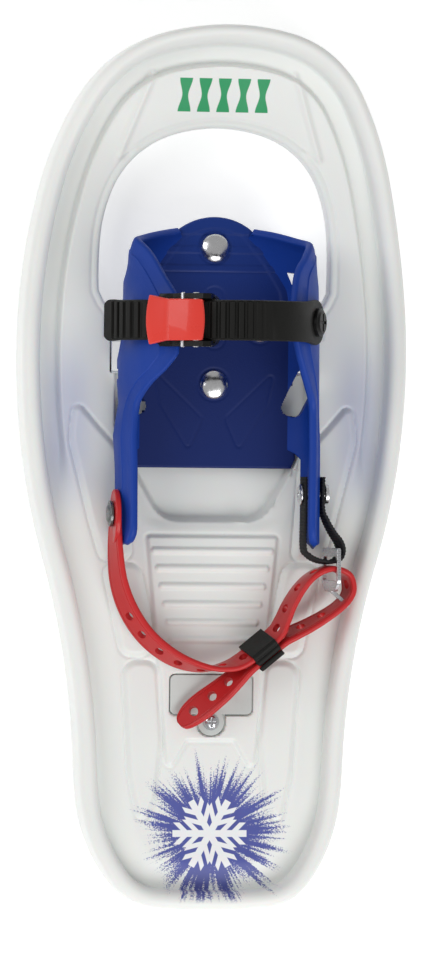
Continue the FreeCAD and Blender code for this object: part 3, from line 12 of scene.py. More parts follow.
import bmesh
import bpy
import numpy as np
from mathutils import Matrix, Vector
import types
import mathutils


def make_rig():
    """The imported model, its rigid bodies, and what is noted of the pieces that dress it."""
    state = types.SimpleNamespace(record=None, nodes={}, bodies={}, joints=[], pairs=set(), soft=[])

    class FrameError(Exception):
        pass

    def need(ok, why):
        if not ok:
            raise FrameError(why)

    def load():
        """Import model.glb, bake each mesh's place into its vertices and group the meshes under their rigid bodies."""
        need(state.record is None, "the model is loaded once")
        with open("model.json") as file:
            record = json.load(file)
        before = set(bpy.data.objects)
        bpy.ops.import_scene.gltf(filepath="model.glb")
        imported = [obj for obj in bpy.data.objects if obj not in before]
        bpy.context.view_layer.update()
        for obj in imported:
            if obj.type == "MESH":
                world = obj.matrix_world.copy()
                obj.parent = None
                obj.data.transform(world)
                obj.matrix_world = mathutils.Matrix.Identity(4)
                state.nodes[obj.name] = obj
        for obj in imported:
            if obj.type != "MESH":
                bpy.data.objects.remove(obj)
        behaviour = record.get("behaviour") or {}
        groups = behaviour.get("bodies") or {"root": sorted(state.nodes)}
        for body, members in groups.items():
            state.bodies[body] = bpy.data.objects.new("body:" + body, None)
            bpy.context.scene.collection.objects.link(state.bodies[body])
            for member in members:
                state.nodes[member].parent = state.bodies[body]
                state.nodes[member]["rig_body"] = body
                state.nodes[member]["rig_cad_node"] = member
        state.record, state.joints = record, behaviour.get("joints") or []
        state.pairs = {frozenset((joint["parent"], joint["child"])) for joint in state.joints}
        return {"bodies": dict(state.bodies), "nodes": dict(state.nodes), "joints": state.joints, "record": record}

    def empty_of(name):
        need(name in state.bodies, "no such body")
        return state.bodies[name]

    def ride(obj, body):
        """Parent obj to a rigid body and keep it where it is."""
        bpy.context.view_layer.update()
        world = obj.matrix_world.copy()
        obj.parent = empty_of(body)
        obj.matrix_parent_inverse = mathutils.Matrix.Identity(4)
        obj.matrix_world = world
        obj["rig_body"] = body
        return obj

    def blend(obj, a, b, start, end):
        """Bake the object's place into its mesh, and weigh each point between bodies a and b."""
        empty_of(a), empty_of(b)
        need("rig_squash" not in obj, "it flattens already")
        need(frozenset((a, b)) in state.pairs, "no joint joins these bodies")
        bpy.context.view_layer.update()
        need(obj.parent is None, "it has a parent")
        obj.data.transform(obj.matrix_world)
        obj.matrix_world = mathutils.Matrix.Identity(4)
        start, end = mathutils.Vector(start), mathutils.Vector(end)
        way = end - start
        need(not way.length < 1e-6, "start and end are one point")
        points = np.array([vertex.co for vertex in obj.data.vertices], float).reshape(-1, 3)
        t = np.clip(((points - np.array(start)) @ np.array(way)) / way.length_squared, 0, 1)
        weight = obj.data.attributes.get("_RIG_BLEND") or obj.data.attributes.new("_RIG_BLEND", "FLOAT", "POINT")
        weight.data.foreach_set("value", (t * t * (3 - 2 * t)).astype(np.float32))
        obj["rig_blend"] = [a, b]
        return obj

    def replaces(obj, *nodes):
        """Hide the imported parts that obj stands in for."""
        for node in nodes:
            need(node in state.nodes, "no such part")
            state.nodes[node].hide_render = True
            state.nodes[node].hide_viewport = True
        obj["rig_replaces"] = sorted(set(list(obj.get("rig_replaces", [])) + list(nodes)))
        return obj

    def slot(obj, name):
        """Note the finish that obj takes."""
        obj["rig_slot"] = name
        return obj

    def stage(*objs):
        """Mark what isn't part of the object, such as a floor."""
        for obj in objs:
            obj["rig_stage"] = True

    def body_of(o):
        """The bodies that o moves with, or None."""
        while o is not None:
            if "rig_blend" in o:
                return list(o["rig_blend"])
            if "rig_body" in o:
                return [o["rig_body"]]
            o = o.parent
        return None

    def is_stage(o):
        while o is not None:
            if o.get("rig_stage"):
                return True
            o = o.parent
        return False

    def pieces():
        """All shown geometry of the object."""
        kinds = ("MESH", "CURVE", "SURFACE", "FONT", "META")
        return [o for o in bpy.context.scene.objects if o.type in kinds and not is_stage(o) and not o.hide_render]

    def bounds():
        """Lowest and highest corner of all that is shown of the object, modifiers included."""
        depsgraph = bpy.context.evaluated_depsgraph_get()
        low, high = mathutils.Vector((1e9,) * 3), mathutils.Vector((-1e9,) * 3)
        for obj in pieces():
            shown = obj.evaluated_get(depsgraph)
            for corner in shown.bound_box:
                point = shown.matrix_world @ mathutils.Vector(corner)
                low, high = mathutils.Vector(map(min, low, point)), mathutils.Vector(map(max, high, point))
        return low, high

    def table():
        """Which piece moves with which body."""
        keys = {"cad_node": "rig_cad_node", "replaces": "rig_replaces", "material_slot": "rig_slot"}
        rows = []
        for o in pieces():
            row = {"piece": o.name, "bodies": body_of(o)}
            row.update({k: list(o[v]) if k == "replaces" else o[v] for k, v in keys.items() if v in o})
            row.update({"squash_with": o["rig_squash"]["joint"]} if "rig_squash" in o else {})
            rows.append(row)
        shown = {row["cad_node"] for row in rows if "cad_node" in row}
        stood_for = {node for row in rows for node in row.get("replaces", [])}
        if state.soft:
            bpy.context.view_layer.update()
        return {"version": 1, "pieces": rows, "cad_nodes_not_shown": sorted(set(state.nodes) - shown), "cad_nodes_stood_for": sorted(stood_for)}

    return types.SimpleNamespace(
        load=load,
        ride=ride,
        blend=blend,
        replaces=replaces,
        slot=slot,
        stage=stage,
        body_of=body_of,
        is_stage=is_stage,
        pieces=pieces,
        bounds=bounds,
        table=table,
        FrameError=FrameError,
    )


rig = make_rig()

MM = 0.001
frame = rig.load()
cad_box = [list(corner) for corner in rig.bounds()]
NODES = frame["nodes"]

# ------------------------------------------------------------------ node materials


class Shader:
    """A small helper that builds one procedural material node by node."""

    def __init__(self, name):
        self.material = bpy.data.materials.new(name)
        self.material.use_nodes = True
        self.tree = self.material.node_tree
        self.tree.nodes.clear()
        self.out = self.tree.nodes.new("ShaderNodeOutputMaterial")
        self.surface = self.tree.nodes.new("ShaderNodeBsdfPrincipled")
        self.tree.links.new(self.surface.outputs[0], self.out.inputs[0])
        self.place = self.tree.nodes.new("ShaderNodeTexCoord").outputs["Object"]
        split = self.tree.nodes.new("ShaderNodeSeparateXYZ")
        self.tree.links.new(self.place, split.inputs[0])
        self.x, self.y, self.z = split.outputs

    def feed(self, socket, value):
        if isinstance(value, bpy.types.NodeSocket):
            self.tree.links.new(value, socket)
        else:
            socket.default_value = value

    def math(self, operation, a, b=0.0, c=0.0):
        node = self.tree.nodes.new("ShaderNodeMath")
        node.operation = operation
        for socket, value in zip(node.inputs, (a, b, c)):
            self.feed(socket, value)
        return node.outputs[0]

    def times(self, a, b):
        return self.math("MULTIPLY", a, b)

    def minus(self, a, b):
        return self.math("SUBTRACT", a, b)

    def plus(self, a, b):
        return self.math("ADD", a, b)

    def size(self, a):
        return self.math("ABSOLUTE", a)

    def ramp(self, value, low, high, out_low=0.0, out_high=1.0):
        """A smooth step of the value between two limits."""
        node = self.tree.nodes.new("ShaderNodeMapRange")
        node.interpolation_type = "SMOOTHSTEP"
        for socket, setting in zip(node.inputs, (value, low, high, out_low, out_high)):
            self.feed(socket, setting)
        return node.outputs[0]

    def noise(self, scale, detail=4.0, vector=None, stretch=None):
        node = self.tree.nodes.new("ShaderNodeTexNoise")
        node.inputs["Scale"].default_value = scale
        node.inputs["Detail"].default_value = detail
        source = vector or self.place
        if stretch:
            mapping = self.tree.nodes.new("ShaderNodeMapping")
            mapping.inputs["Scale"].default_value = stretch
            self.feed(mapping.inputs[0], source)
            source = mapping.outputs[0]
        self.feed(node.inputs["Vector"], source)
        return node.outputs["Fac"]

    def combine(self, x, y, z=0.0):
        node = self.tree.nodes.new("ShaderNodeCombineXYZ")
        for socket, value in zip(node.inputs, (x, y, z)):
            self.feed(socket, value)
        return node.outputs[0]

    def mix(self, factor, a, b):
        node = self.tree.nodes.new("ShaderNodeMix")
        node.data_type = "RGBA"
        self.feed(node.inputs["Factor"], factor)
        self.feed(node.inputs["A"], a)
        self.feed(node.inputs["B"], b)
        return node.outputs["Result"]

    def bump(self, height, depth, distance=0.0004):
        node = self.tree.nodes.new("ShaderNodeBump")
        node.inputs["Strength"].default_value = depth
        node.inputs["Distance"].default_value = distance
        self.feed(node.inputs["Height"], height)
        self.tree.links.new(node.outputs[0], self.surface.inputs["Normal"])

    def set(self, **values):
        for name, value in values.items():
            self.feed(self.surface.inputs[name.replace("_", " ")], value)
        return self


def rgb(red, green, blue):
    return (red, green, blue, 1.0)


def scaled(color, factor):
    return (color[0] * factor, color[1] * factor, color[2] * factor, 1.0)


MATT_SPECULAR = 0.22


def grained(name, color, roughness, grain=900.0, depth=0.25, wear=0.12, **more):
    """Moulded plastic or rubber: a fine moulding grain and slight cloudy wear."""
    made = Shader(name)
    cloud = made.noise(38.0, 3.0)
    shade = made.mix(cloud, scaled(color, 1 - wear), scaled(color, 1 + wear))
    made.set(Base_Color=shade, Specular_IOR_Level=MATT_SPECULAR)
    made.set(Roughness=made.ramp(made.noise(60.0), 0.3, 0.7, roughness - 0.05, roughness + 0.07), **more)
    made.bump(made.noise(grain, 2.0), depth, 0.0002)
    return made.material


def metal(name, color, roughness, stretch=(1, 1, 1), depth=0.12, grain=420.0):
    """Plated or stamped steel with fine tool marks and dull spots."""
    made = Shader(name)
    marks = made.noise(grain, 5.0, stretch=stretch)
    spots = made.noise(120.0, 3.0)
    made.set(Metallic=1.0, Base_Color=made.mix(spots, scaled(color, 0.86), scaled(color, 1.06)))
    made.set(Roughness=made.ramp(marks, 0.3, 0.75, roughness - 0.06, roughness + 0.12))
    made.bump(marks, depth, 0.0002)
    return made.material


def sector_fold(shader, angle, count):
    """The angle folded into one mirrored sector of a star with that many arms."""
    step = 2 * math.pi / count
    return shader.size(shader.math("WRAP", angle, step / 2, -step / 2))


def print_place(shader, middle):
    """Distances across and along the shoe from the middle of a print."""
    return shader.x, shader.minus(shader.y, middle * MM)


def burst_marks(shader, middle):
    """Masks of the tail print: a ragged blue burst and a plain six-armed flake on it."""
    x, y = print_place(shader, middle)
    radius = shader.math("SQRT", shader.plus(shader.times(x, x), shader.times(y, y)))
    angle = shader.math("ARCTAN2", y, x)
    ring = shader.combine(shader.math("COSINE", angle), shader.math("SINE", angle))
    broad = shader.noise(5.5, 1.0, vector=ring)
    fine = shader.noise(17.0, 2.0, vector=ring)
    rays = shader.ramp(fine, 0.3, 0.7, -0.001, 0.011)
    reach = shader.plus(shader.ramp(broad, 0.35, 0.65, 0.019, 0.027), rays)
    speckle = shader.ramp(shader.noise(1500.0, 1.0), 0.35, 0.65, -0.0035, 0.0035)
    edge = shader.minus(shader.plus(reach, speckle), radius)
    burst = shader.ramp(edge, -0.0025, 0.0060)

    fold = sector_fold(shader, angle, 6)
    along = shader.times(radius, shader.math("COSINE", fold))
    across = shader.times(radius, shader.math("SINE", fold))
    flake = shader.times(shader.ramp(across, 0.0017, 0.0014), shader.ramp(along, 0.0175, 0.0172))
    for start, branch in ((0.0050, 0.0065), (0.0105, 0.0052)):
        slide = shader.minus(along, start)
        near = shader.ramp(shader.size(shader.minus(across, slide)), 0.0017, 0.0013)
        begun = shader.ramp(slide, -0.0006, -0.0003)
        within = shader.times(begun, shader.ramp(across, branch, branch - 0.0003))
        flake = shader.math("MAXIMUM", flake, shader.times(near, within))
    return burst, flake


def toe_marks(shader, middle):
    """Mask of the toe print: a plain row of five upright green bars, narrow at the waist."""
    x, y = print_place(shader, middle)
    side = shader.size(shader.math("WRAP", x, 0.0045, -0.0045))
    tall = shader.size(y)
    width = shader.ramp(tall, 0.0, 0.0075, 0.0014, 0.0030)
    bar = shader.ramp(shader.minus(side, width), 0.0002, -0.0002)
    row = shader.ramp(shader.size(x), 0.0224, 0.0221)
    return shader.times(bar, shader.times(shader.ramp(tall, 0.0077, 0.0074), row))


TOE_PRINT, TAIL_PRINT = 171.5, -168.0


def deck_material():
    """Pearl white moulding, with a painted bluish shade in the channels beside the binding, and the toe and tail
    prints on it.
    """
    made = Shader("pearl_deck")
    cloud = made.noise(16.0, 3.0)
    base = made.mix(cloud, rgb(0.77, 0.785, 0.765), rgb(0.85, 0.86, 0.835))
    # Painted shade: a blue-grey band darkens the channels beside the binding's arms, as shade and blue bounce light
    # there.
    side = made.size(made.x)
    band = made.times(made.ramp(side, 0.050, 0.066), made.ramp(side, 0.084, 0.072))
    length = made.times(made.ramp(made.y, -0.030, 0.010), made.ramp(made.y, 0.075, 0.030))
    painted_channel_shade = made.times(made.times(band, length), 0.55)
    base = made.mix(painted_channel_shade, base, rgb(0.34, 0.37, 0.56))
    burst, flake = burst_marks(made, TAIL_PRINT)
    blue = made.mix(made.noise(90.0), rgb(0.022, 0.035, 0.27), rgb(0.04, 0.06, 0.36))
    burst = made.times(burst, made.ramp(made.y, -0.2000, -0.1965, 0.0, 0.93))
    printed = made.mix(burst, base, blue)
    printed = made.mix(flake, printed, rgb(0.84, 0.85, 0.86))
    printed = made.mix(toe_marks(made, TOE_PRINT), printed, rgb(0.0, 0.30, 0.10))
    made.set(Base_Color=printed, Specular_IOR_Level=0.30)
    made.set(Roughness=made.ramp(made.noise(45.0), 0.3, 0.7, 0.38, 0.48))
    made.set(Subsurface_Weight=0.12, Subsurface_Scale=0.004, Coat_Weight=0.05, Coat_Roughness=0.35)
    made.bump(made.noise(1400.0, 2.0), 0.10, 0.0001)
    return made.material


def footbed_material():
    """The binding's blue, brighter towards the toe where light comes through from below."""
    made = Shader("footbed_blue")
    cloud = made.noise(38.0, 3.0)
    tone = made.mix(made.ramp(made.y, 0.060, 0.112), rgb(0.006, 0.019, 0.125), rgb(0.008, 0.038, 0.24))
    shade = made.mix(made.times(cloud, 0.2), tone, rgb(0.010, 0.032, 0.18))
    made.set(Base_Color=shade, Specular_IOR_Level=MATT_SPECULAR)
    made.set(Roughness=made.ramp(made.noise(60.0), 0.3, 0.7, 0.43, 0.55))
    made.bump(made.noise(1300.0, 2.0), 0.35, 0.0002)
    return made.material


DECK = deck_material()
BINDING = grained("binding_blue", (0.007, 0.045, 0.31), 0.48, grain=1300.0, depth=0.35, wear=0.10)
FOOTBED = footbed_material()
STRAP_BLACK = grained("strap_black", (0.007, 0.007, 0.006), 0.52, grain=1500.0, depth=0.4)
BUCKLE_BLACK = grained("buckle_black", (0.005, 0.005, 0.005), 0.34, grain=1100.0, depth=0.3)
LEVER_RED = grained("lever_red", (0.74, 0.050, 0.035), 0.28, grain=700.0, depth=0.12, Coat_Weight=0.3)
STRAP_RED = grained("strap_red", (0.52, 0.020, 0.022), 0.36, grain=900.0, depth=0.2, Coat_Weight=0.15)
WEBBING = grained("webbing_cloth", (0.018, 0.018, 0.019), 0.75, grain=2400.0, depth=0.8)
DOOR = grained("door_clear", (0.60, 0.64, 0.62), 0.30, grain=600.0, depth=0.15)
BUSH = grained("acetal_bush", (0.05, 0.05, 0.05), 0.35)
SEAL = grained("seal_rubber", (0.06, 0.06, 0.06), 0.55)
TRAY = grained("tray_plastic", (0.45, 0.45, 0.43), 0.45)
BOARD = grained("board_green", (0.02, 0.16, 0.06), 0.35)
LENS = grained("lamp_red", (0.70, 0.06, 0.05), 0.15)
CHIP = grained("chip_black", (0.02, 0.02, 0.02), 0.40)
NICKEL = metal("bright_nickel", (0.74, 0.74, 0.75), 0.20)
STEEL = metal("plated_steel", (0.62, 0.63, 0.65), 0.26, stretch=(1, 8, 1))
DARK_STEEL = metal("dark_steel", (0.20, 0.21, 0.21), 0.28)
SPRING = metal("spring_steel", (0.40, 0.40, 0.41), 0.35)
CRAMPON = metal("crampon_steel", (0.48, 0.49, 0.51), 0.42, depth=0.3, grain=260.0)
BRASS = metal("brass", (0.70, 0.50, 0.22), 0.30)

# ------------------------------------------------------------------ plane geometry


def smooth(value, low, high):
    t = np.clip((value - low) / (high - low), 0.0, 1.0)
    return t * t * (3 - 2 * t)


def arc_points(start, middle, end, step=1.5):
    """Points along the circle through three points, without the last one."""
    start, middle, end = (np.asarray(p, float) for p in (start, middle, end))
    a, b = middle - start, end - start
    d = 2 * (a[0] * b[1] - a[1] * b[0])
    if abs(d) < 1e-9:
        count = max(2, int(np.hypot(*b) / step))
        return [start + b * i / count for i in range(count)]
    ux = (b[1] * (a @ a) - a[1] * (b @ b)) / d
    uy = (a[0] * (b @ b) - b[0] * (a @ a)) / d
    centre = start + (ux, uy)
    radius = math.hypot(ux, uy)
    first = math.atan2(*(start - centre)[::-1])
    mid = math.atan2(*(middle - centre)[::-1])
    last = math.atan2(*(end - centre)[::-1])
    if d > 0:
        mid, last = (v + 2 * math.pi * (v < first) for v in (mid, last))
    else:
        mid, last = (v - 2 * math.pi * (v > first) for v in (mid, last))
    count = max(2, int(radius * abs(last - first) / step))
    angles = [first + (last - first) * i / count for i in range(count)]
    return [centre + radius * np.array([math.cos(t), math.sin(t)]) for t in angles]


def tangent_outline(joints):
    """One side of a symmetric outline: tangent arcs through the joints, starting level."""
    heading = np.array([1.0, 0.0])
    points = []
    for start, end in zip(joints, joints[1:]):
        start, end = np.array(start), np.array(end)
        chord = end - start
        inward = np.array([heading[1], -heading[0]])
        radius = chord @ chord / (2 * chord @ inward)
        centre = start + inward * radius
        out = (start + end) / 2 - centre
        middle = centre + out / np.hypot(*out) * abs(radius)
        points += arc_points(start, middle, end)
        along = chord / np.hypot(*chord)
        heading = along * (2 * heading @ along) - heading
    return points


def rounded_loop(points, radius, step=0.8):
    """A closed outline with rounded corners; a point may carry its own radius."""
    loop = []
    count = len(points)
    for i, point in enumerate(points):
        here = np.array(point[:2], float)
        before = np.array(points[i - 1][:2]) - here
        after = np.array(points[(i + 1) % count][:2]) - here
        r = point[2] if len(point) > 2 else radius
        before, after = before / np.hypot(*before), after / np.hypot(*after)
        half = math.acos(np.clip(before @ after, -1, 1)) / 2
        cut = r / math.tan(half)
        bisector = (before + after) / np.hypot(*(before + after))
        middle = here + bisector * (r / math.sin(half) - r)
        loop += arc_points(here + before * cut, middle, here + after * cut, step)
        loop.append(here + after * cut)
    return np.array(loop)


def signed_distance(points, loop):
    """Distance from each point to a closed loop, positive inside."""
    best = np.full(len(points), 1e9)
    inside = np.zeros(len(points), bool)
    x, y = points[:, 0], points[:, 1]
    for (ax, ay), (bx, by) in zip(loop, np.roll(loop, -1, axis=0)):
        ex, ey = bx - ax, by - ay
        size = ex * ex + ey * ey
        if size < 1e-12:
            continue
        t = np.clip(((x - ax) * ex + (y - ay) * ey) / size, 0, 1)
        best = np.minimum(best, (x - ax - t * ex) ** 2 + (y - ay - t * ey) ** 2)
        if ay != by:
            crosses = (ay > y) != (by > y)
            inside ^= crosses & (x < ax + (y - ay) / (by - ay) * ex)
    return np.sqrt(best) * np.where(inside, 1, -1)


def near_distance(points, loop, margin=6.0):
    """Signed distance, worked out only near the loop's own box and -margin elsewhere."""
    low, high = loop.min(0) - margin, loop.max(0) + margin
    close = ((points > low) & (points < high)).all(axis=1)
    distance = np.full(len(points), -margin)
    distance[close] = signed_distance(points[close], loop)
    return distance


def segment_distance(points, a, b):
    a, b = np.array(a, float), np.array(b, float)
    t = np.clip((points - a) @ (b - a) / ((b - a) @ (b - a)), 0, 1)
    return np.hypot(*(points - a - t[:, None] * (b - a)).T)


def catmull(points, per_span):
    """A smooth open curve through the points."""
    points = np.asarray(points, float)
    padded = np.vstack([2 * points[0] - points[1], points, 2 * points[-1] - points[-2]])
    out = []
    for i in range(len(padded) - 3):
        p0, p1, p2, p3 = padded[i:i + 4]
        for t in np.arange(per_span) / per_span:
            out.append(0.5 * (2 * p1 + (p2 - p0) * t + (2 * p0 - 5 * p1 + 4 * p2 - p3) * t**2
                              + (3 * p1 - p0 - 3 * p2 + p3) * t**3))
    out.append(points[-1])
    return np.array(out)


# ------------------------------------------------------------------ meshes


def linked(name, data):
    """A new object of the scene with that data."""
    made = bpy.data.objects.new(name, data)
    bpy.context.scene.collection.objects.link(made)
    return made


def millimetre_mesh(name, points, faces):
    mesh = bpy.data.meshes.new(name)
    mesh.from_pydata((np.asarray(points, float) * MM).tolist(), [], faces)
    return mesh


def add_mesh(name, points, faces, material, body, slot, replaces=(), crease=35.0):
    """Make an object from millimetre points and ride it on its body, if it has just one."""
    mesh = millimetre_mesh(name, points, faces)
    mesh.update()
    mesh.materials.append(material)
    mesh.shade_smooth()
    mesh.set_sharp_from_angle(angle=math.radians(crease))
    made = linked(name, mesh)
    if body:
        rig.ride(made, body)
    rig.slot(made, slot)
    if replaces:
        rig.replaces(made, *replaces)
    return made


def bevelled(thing, width, segments=3, angle=40.0):
    """Round the sharp edges of a mesh and keep it smooth shaded."""
    modifier = thing.modifiers.new("bevel", "BEVEL")
    modifier.width = width * MM
    modifier.segments = segments
    modifier.limit_method = "ANGLE"
    modifier.angle_limit = math.radians(angle)
    modifier.harden_normals = True
    return thing


def strip_faces(rows, columns, wrap_rows=False, wrap_columns=False):
    """Quads of a rows by columns lattice of points."""
    faces = []
    for i in range(rows if wrap_rows else rows - 1):
        for j in range(columns if wrap_columns else columns - 1):
            a = i * columns + j
            b = i * columns + (j + 1) % columns
            c = ((i + 1) % rows) * columns + (j + 1) % columns
            d = ((i + 1) % rows) * columns + j
            faces.append((a, b, c, d))
    return faces


def tube_faces(rows, columns):
    """Faces of a closed tube: its wrapped lattice and both end caps."""
    ends = [tuple(range(columns)), tuple((rows - 1) * columns + j for j in reversed(range(columns)))]
    return strip_faces(rows, columns, wrap_columns=True) + ends


def prism_faces(count):
    """Faces of a closed prism between two loops of that many points."""
    ends = [tuple(range(count)), tuple(reversed(range(count, 2 * count)))]
    return ends + [(i, i + count, (i + 1) % count + count, (i + 1) % count) for i in range(count)]


def prism(name, outline, low, high, place, material, body, slot, bevel):
    """An XZ outline carried along Y from low to high, put in place by a matrix in millimetres."""
    points = [place @ Vector((x, y, z)) for y in (low, high) for x, z in outline]
    made = add_mesh(name, points, prism_faces(len(outline)), material, body, slot)
    fix_normals(made)
    return bevelled(made, bevel)


@contextmanager
def editing(source, result):
    """A bmesh made from one mesh and written to another, or back to the same one, afterwards."""
    mesh = bmesh.new()
    mesh.from_mesh(source)
    yield mesh
    mesh.to_mesh(result)
    mesh.free()


def fix_normals(thing):
    with editing(thing.data, thing.data) as mesh:
        bmesh.ops.recalc_face_normals(mesh, faces=mesh.faces)


def only_material(data, material):
    data.materials.clear()
    data.materials.append(material)


# ------------------------------------------------------------------ deck

HALF_OUTLINE = [
    (0.0, 203.0), (28.3, 199.5), (64.8, 172.0), (80.3, 133.6), (90.2, 54.0), (87.2, 6.0), (76.9, -43.1),
    (65.6, -95.5), (61.9, -137.3), (60.7, -153.6), (45.6, -191.1), (26.3, -201.9), (0.0, -203.0),
]
OPENING_HALF = [(0.0, 157.0), (24.7, 152.4), (48.7, 128.5), (53.7, 105.9), (53.9, 82.0)]
NOTCH_HALF, NOTCH_REAR = 47.5, 45.0
RIM_WIDE, RIM_TOP, RIM_FOOT, RIM_WALL = 8.9, 27.0, 6.0, 2.8
PLATEAU, CHANNEL, RAISED, WELL_FLOOR = 20.0, 15.0, 21.5, 12.5
RING_INNER = 9.8
LIP = 1.2
WELL_HALF = [(46, 60, 2), (46, 18, 12), (36, -3, 10), (24, -24, 14)]
PLATFORM_HALF = [(30.5, -31), (20.5, -136), (18, -137), (11, -125)]
PADS = [
    [(65, 33, 3), (67, 14, 20), (57.5, -24, 20), (52, -42, 4), (37.5, -42, 4), (41, 6, 10), (53, 19, 20)],
    [(51.5, -43.5, 5), (42, -86.5, 6), (27, -86.5, 6), (28.7, -68, 12), (34, -43.5, 6)],
    [
        (41.5, -88.5, 7), (38.5, -140, 20), (32.5, -168, 3), (25.2, -152, 10), (22.5, -125, 20),
        (24.5, -88.5, 7),
    ],
]
# Each rib's place along the shoe and half its length.
RIBS = [(-37.6, 28.7), (-45.7, 26.5), (-54.0, 25.0), (-62.3, 23.3), (-70.6, 21.6), (-78.6, 20.0)]
DOOR_HALF = [(19.1, -94.8, 2.5), (19.1, -113.0, 2.5), (6.2, -113.0, 0.4), (6.0, -122.6, 5.2)]
TOE_CURL_FROM, TOE_CURL = 80.0, 240.0
TAIL_CURL_FROM, TAIL_CURL = -150.0, 280.0


def mirrored_loop(half):
    half = np.array(half)
    left = half[::-1] * (-1, 1)
    return np.vstack([half, left[:-1] if abs(half[-1][0]) > 1e-6 else left[1:-1]])


def with_left(half):
    """A right half of an outline followed by its mirror image, as one list of corners."""
    return half + [(-point[0],) + point[1:] for point in reversed(half)]


def curled(y, height):
    """World height of a point `height` above the ground line, which curls up at both ends."""
    toe = np.clip(y - TOE_CURL_FROM, 0, None)
    tail = np.clip(TAIL_CURL_FROM - y, 0, None)
    toe_z = TOE_CURL - np.sqrt((TOE_CURL - height) ** 2 - toe**2)
    tail_z = TAIL_CURL - np.sqrt((TAIL_CURL - height) ** 2 - tail**2)
    return np.where(y > TOE_CURL_FROM, toe_z, np.where(y < TAIL_CURL_FROM, tail_z, height))


def deck_loops():
    half = tangent_outline(HALF_OUTLINE) + [np.array([0.0, HALF_OUTLINE[-1][1]])]
    outline = mirrored_loop(half)
    opening = tangent_outline(OPENING_HALF) + [np.array(OPENING_HALF[-1])]
    opening += [np.array(p) for p in ((NOTCH_HALF + 4, 77.0), (NOTCH_HALF, 72.0), (NOTCH_HALF, NOTCH_REAR))]
    return outline, mirrored_loop(opening)


OUTLINE, OPENING = deck_loops()


def deck_height(points, inset):
    """Height of the deck's upper face above the ground line at plan points."""
    x, y = points.T
    front = smooth(y, -22.0, 14.0)
    floor = CHANNEL + 1.6 * (1 - front) + 0.9 * smooth(y, 110, 150)
    start = RING_INNER + 0.4 + 6.4 * front
    wide = 2.4 * front + 13.0 * (1 - front)
    height = floor + (PLATEAU - floor) * smooth(inset, start, start + wide)

    for turn in (1, -1):
        ridge = segment_distance(points, (turn * 33.0, 181.0), (turn * 46.8, 143.0))
        foot = segment_distance(points, (turn * 46.8, 143.0), (turn * 38.5, 147.0))
        height = height + 1.1 * np.exp(-(ridge / 1.5) ** 2) + 0.5 * np.exp(-(foot / 0.9) ** 2)
    lip = -near_distance(points, OPENING, 8.0)
    height = height - 0.5 * np.exp(-((lip - 3.4) / 0.7) ** 2) * (y > 60)

    well = near_distance(points, rounded_loop(with_left(WELL_HALF), 4), 12.0)
    ramp = smooth(-y, 22.0, 31.0) * (np.abs(x) < 40)
    slope = 1.6 * (1 - ramp) * smooth(-well, 9.0, 0.5) * (y < 0)
    height = height - slope
    height = height + (WELL_FLOOR - height) * smooth(well, -0.6, 2.6)

    platform = near_distance(points, rounded_loop(with_left(PLATFORM_HALF), 1.2), 8.0)
    height = height + (RAISED - PLATEAU) * smooth(platform, -0.6, 0.9)
    height = height - 0.35 * np.exp(-((platform + 1.1) / 0.6) ** 2)
    for along, half in RIBS:
        rib = segment_distance(points, (-half + 1.4, along), (half - 1.4, along))
        height = height + 1.25 * np.sqrt(np.clip(1 - (rib / 1.55) ** 2, 0, 1))
    for outline in PADS:
        for side in (1, -1):
            loop = rounded_loop([(side * p[0],) + p[1:] for p in outline], 4)
            pad = near_distance(points, loop, 8.0)
            height = height + 1.5 * smooth(pad, -0.2, 2.6) - 0.75 * np.exp(-((pad + 0.5) / 0.55) ** 2)
    door = near_distance(points, rounded_loop(with_left(DOOR_HALF), 2.5), 4.0)
    height = height - 2.2 * smooth(door, -0.75, -0.35)
    return height


def field_points(spacing, low, high, border_of):
    """A lattice where the border distance is positive, its outermost points moved onto the border."""
    xs = np.arange(low[0], high[0] + spacing, spacing)
    ys = np.arange(low[1], high[1] + spacing, spacing)
    gx, gy = np.meshgrid(xs, ys)
    field = border_of(np.column_stack([gx.ravel(), gy.ravel()])).reshape(gx.shape)
    centre = (field[:-1, :-1] + field[1:, :-1] + field[:-1, 1:] + field[1:, 1:]) / 4
    keep = centre > 0
    slope_y, slope_x = np.gradient(field, spacing)
    size = np.maximum(np.hypot(slope_x, slope_y), 0.3)
    used = np.zeros(field.shape, int)
    for dy in (0, 1):
        for dx in (0, 1):
            used[dy:dy + keep.shape[0], dx:dx + keep.shape[1]] += keep
    edge = (used > 0) & (used < 4)
    shift = np.where(edge & (field < spacing), field, 0) / size
    gx = gx - shift * slope_x / size
    gy = gy - shift * slope_y / size
    index = np.full(field.shape, -1)
    index[used > 0] = np.arange((used > 0).sum())
    a, b = index[:-1, :-1][keep], index[:-1, 1:][keep]
    c, d = index[1:, 1:][keep], index[1:, :-1][keep]
    return np.column_stack([gx[used > 0], gy[used > 0]]), np.column_stack([a, b, c, d]).tolist()


def loop_normals(loop):
    """Outward unit normals of a clockwise loop."""
    along = np.roll(loop, -1, axis=0) - np.roll(loop, 1, axis=0)
    along /= np.hypot(*along.T)[:, None]
    return np.column_stack([-along[:, 1], along[:, 0]])


def swept_ring(loop, profile):
    """Carry (inset, height) stations round a clockwise loop; a height may differ along the loop."""
    normals = loop_normals(loop)
    rows = []
    for inset, height in profile:
        plan = loop - normals * inset
        rows.append(np.column_stack([plan, curled(plan[:, 1], height)]))
    return np.stack(rows, axis=1).reshape(-1, 3)


def rim_profile():
    """Section of the rolled rim: outer face, rounded top, inner face, and the hollow below."""
    half = RIM_WIDE / 2
    profile = [(0.3, RIM_FOOT), (0.0, RIM_FOOT + 0.4), (0.0, 12.0), (0.0, 18.0), (0.15, 21.0)]
    for step in range(1, 12):
        angle = math.pi * step / 12
        profile.append((half - (half - 0.15) * math.cos(angle), 22.0 + (RIM_TOP - 22.0) * math.sin(angle)))
    profile += [(8.75, 21.0), (8.9, 17.4), (9.1, 16.1), (9.45, 15.3), (RING_INNER, CHANNEL)]
    return profile


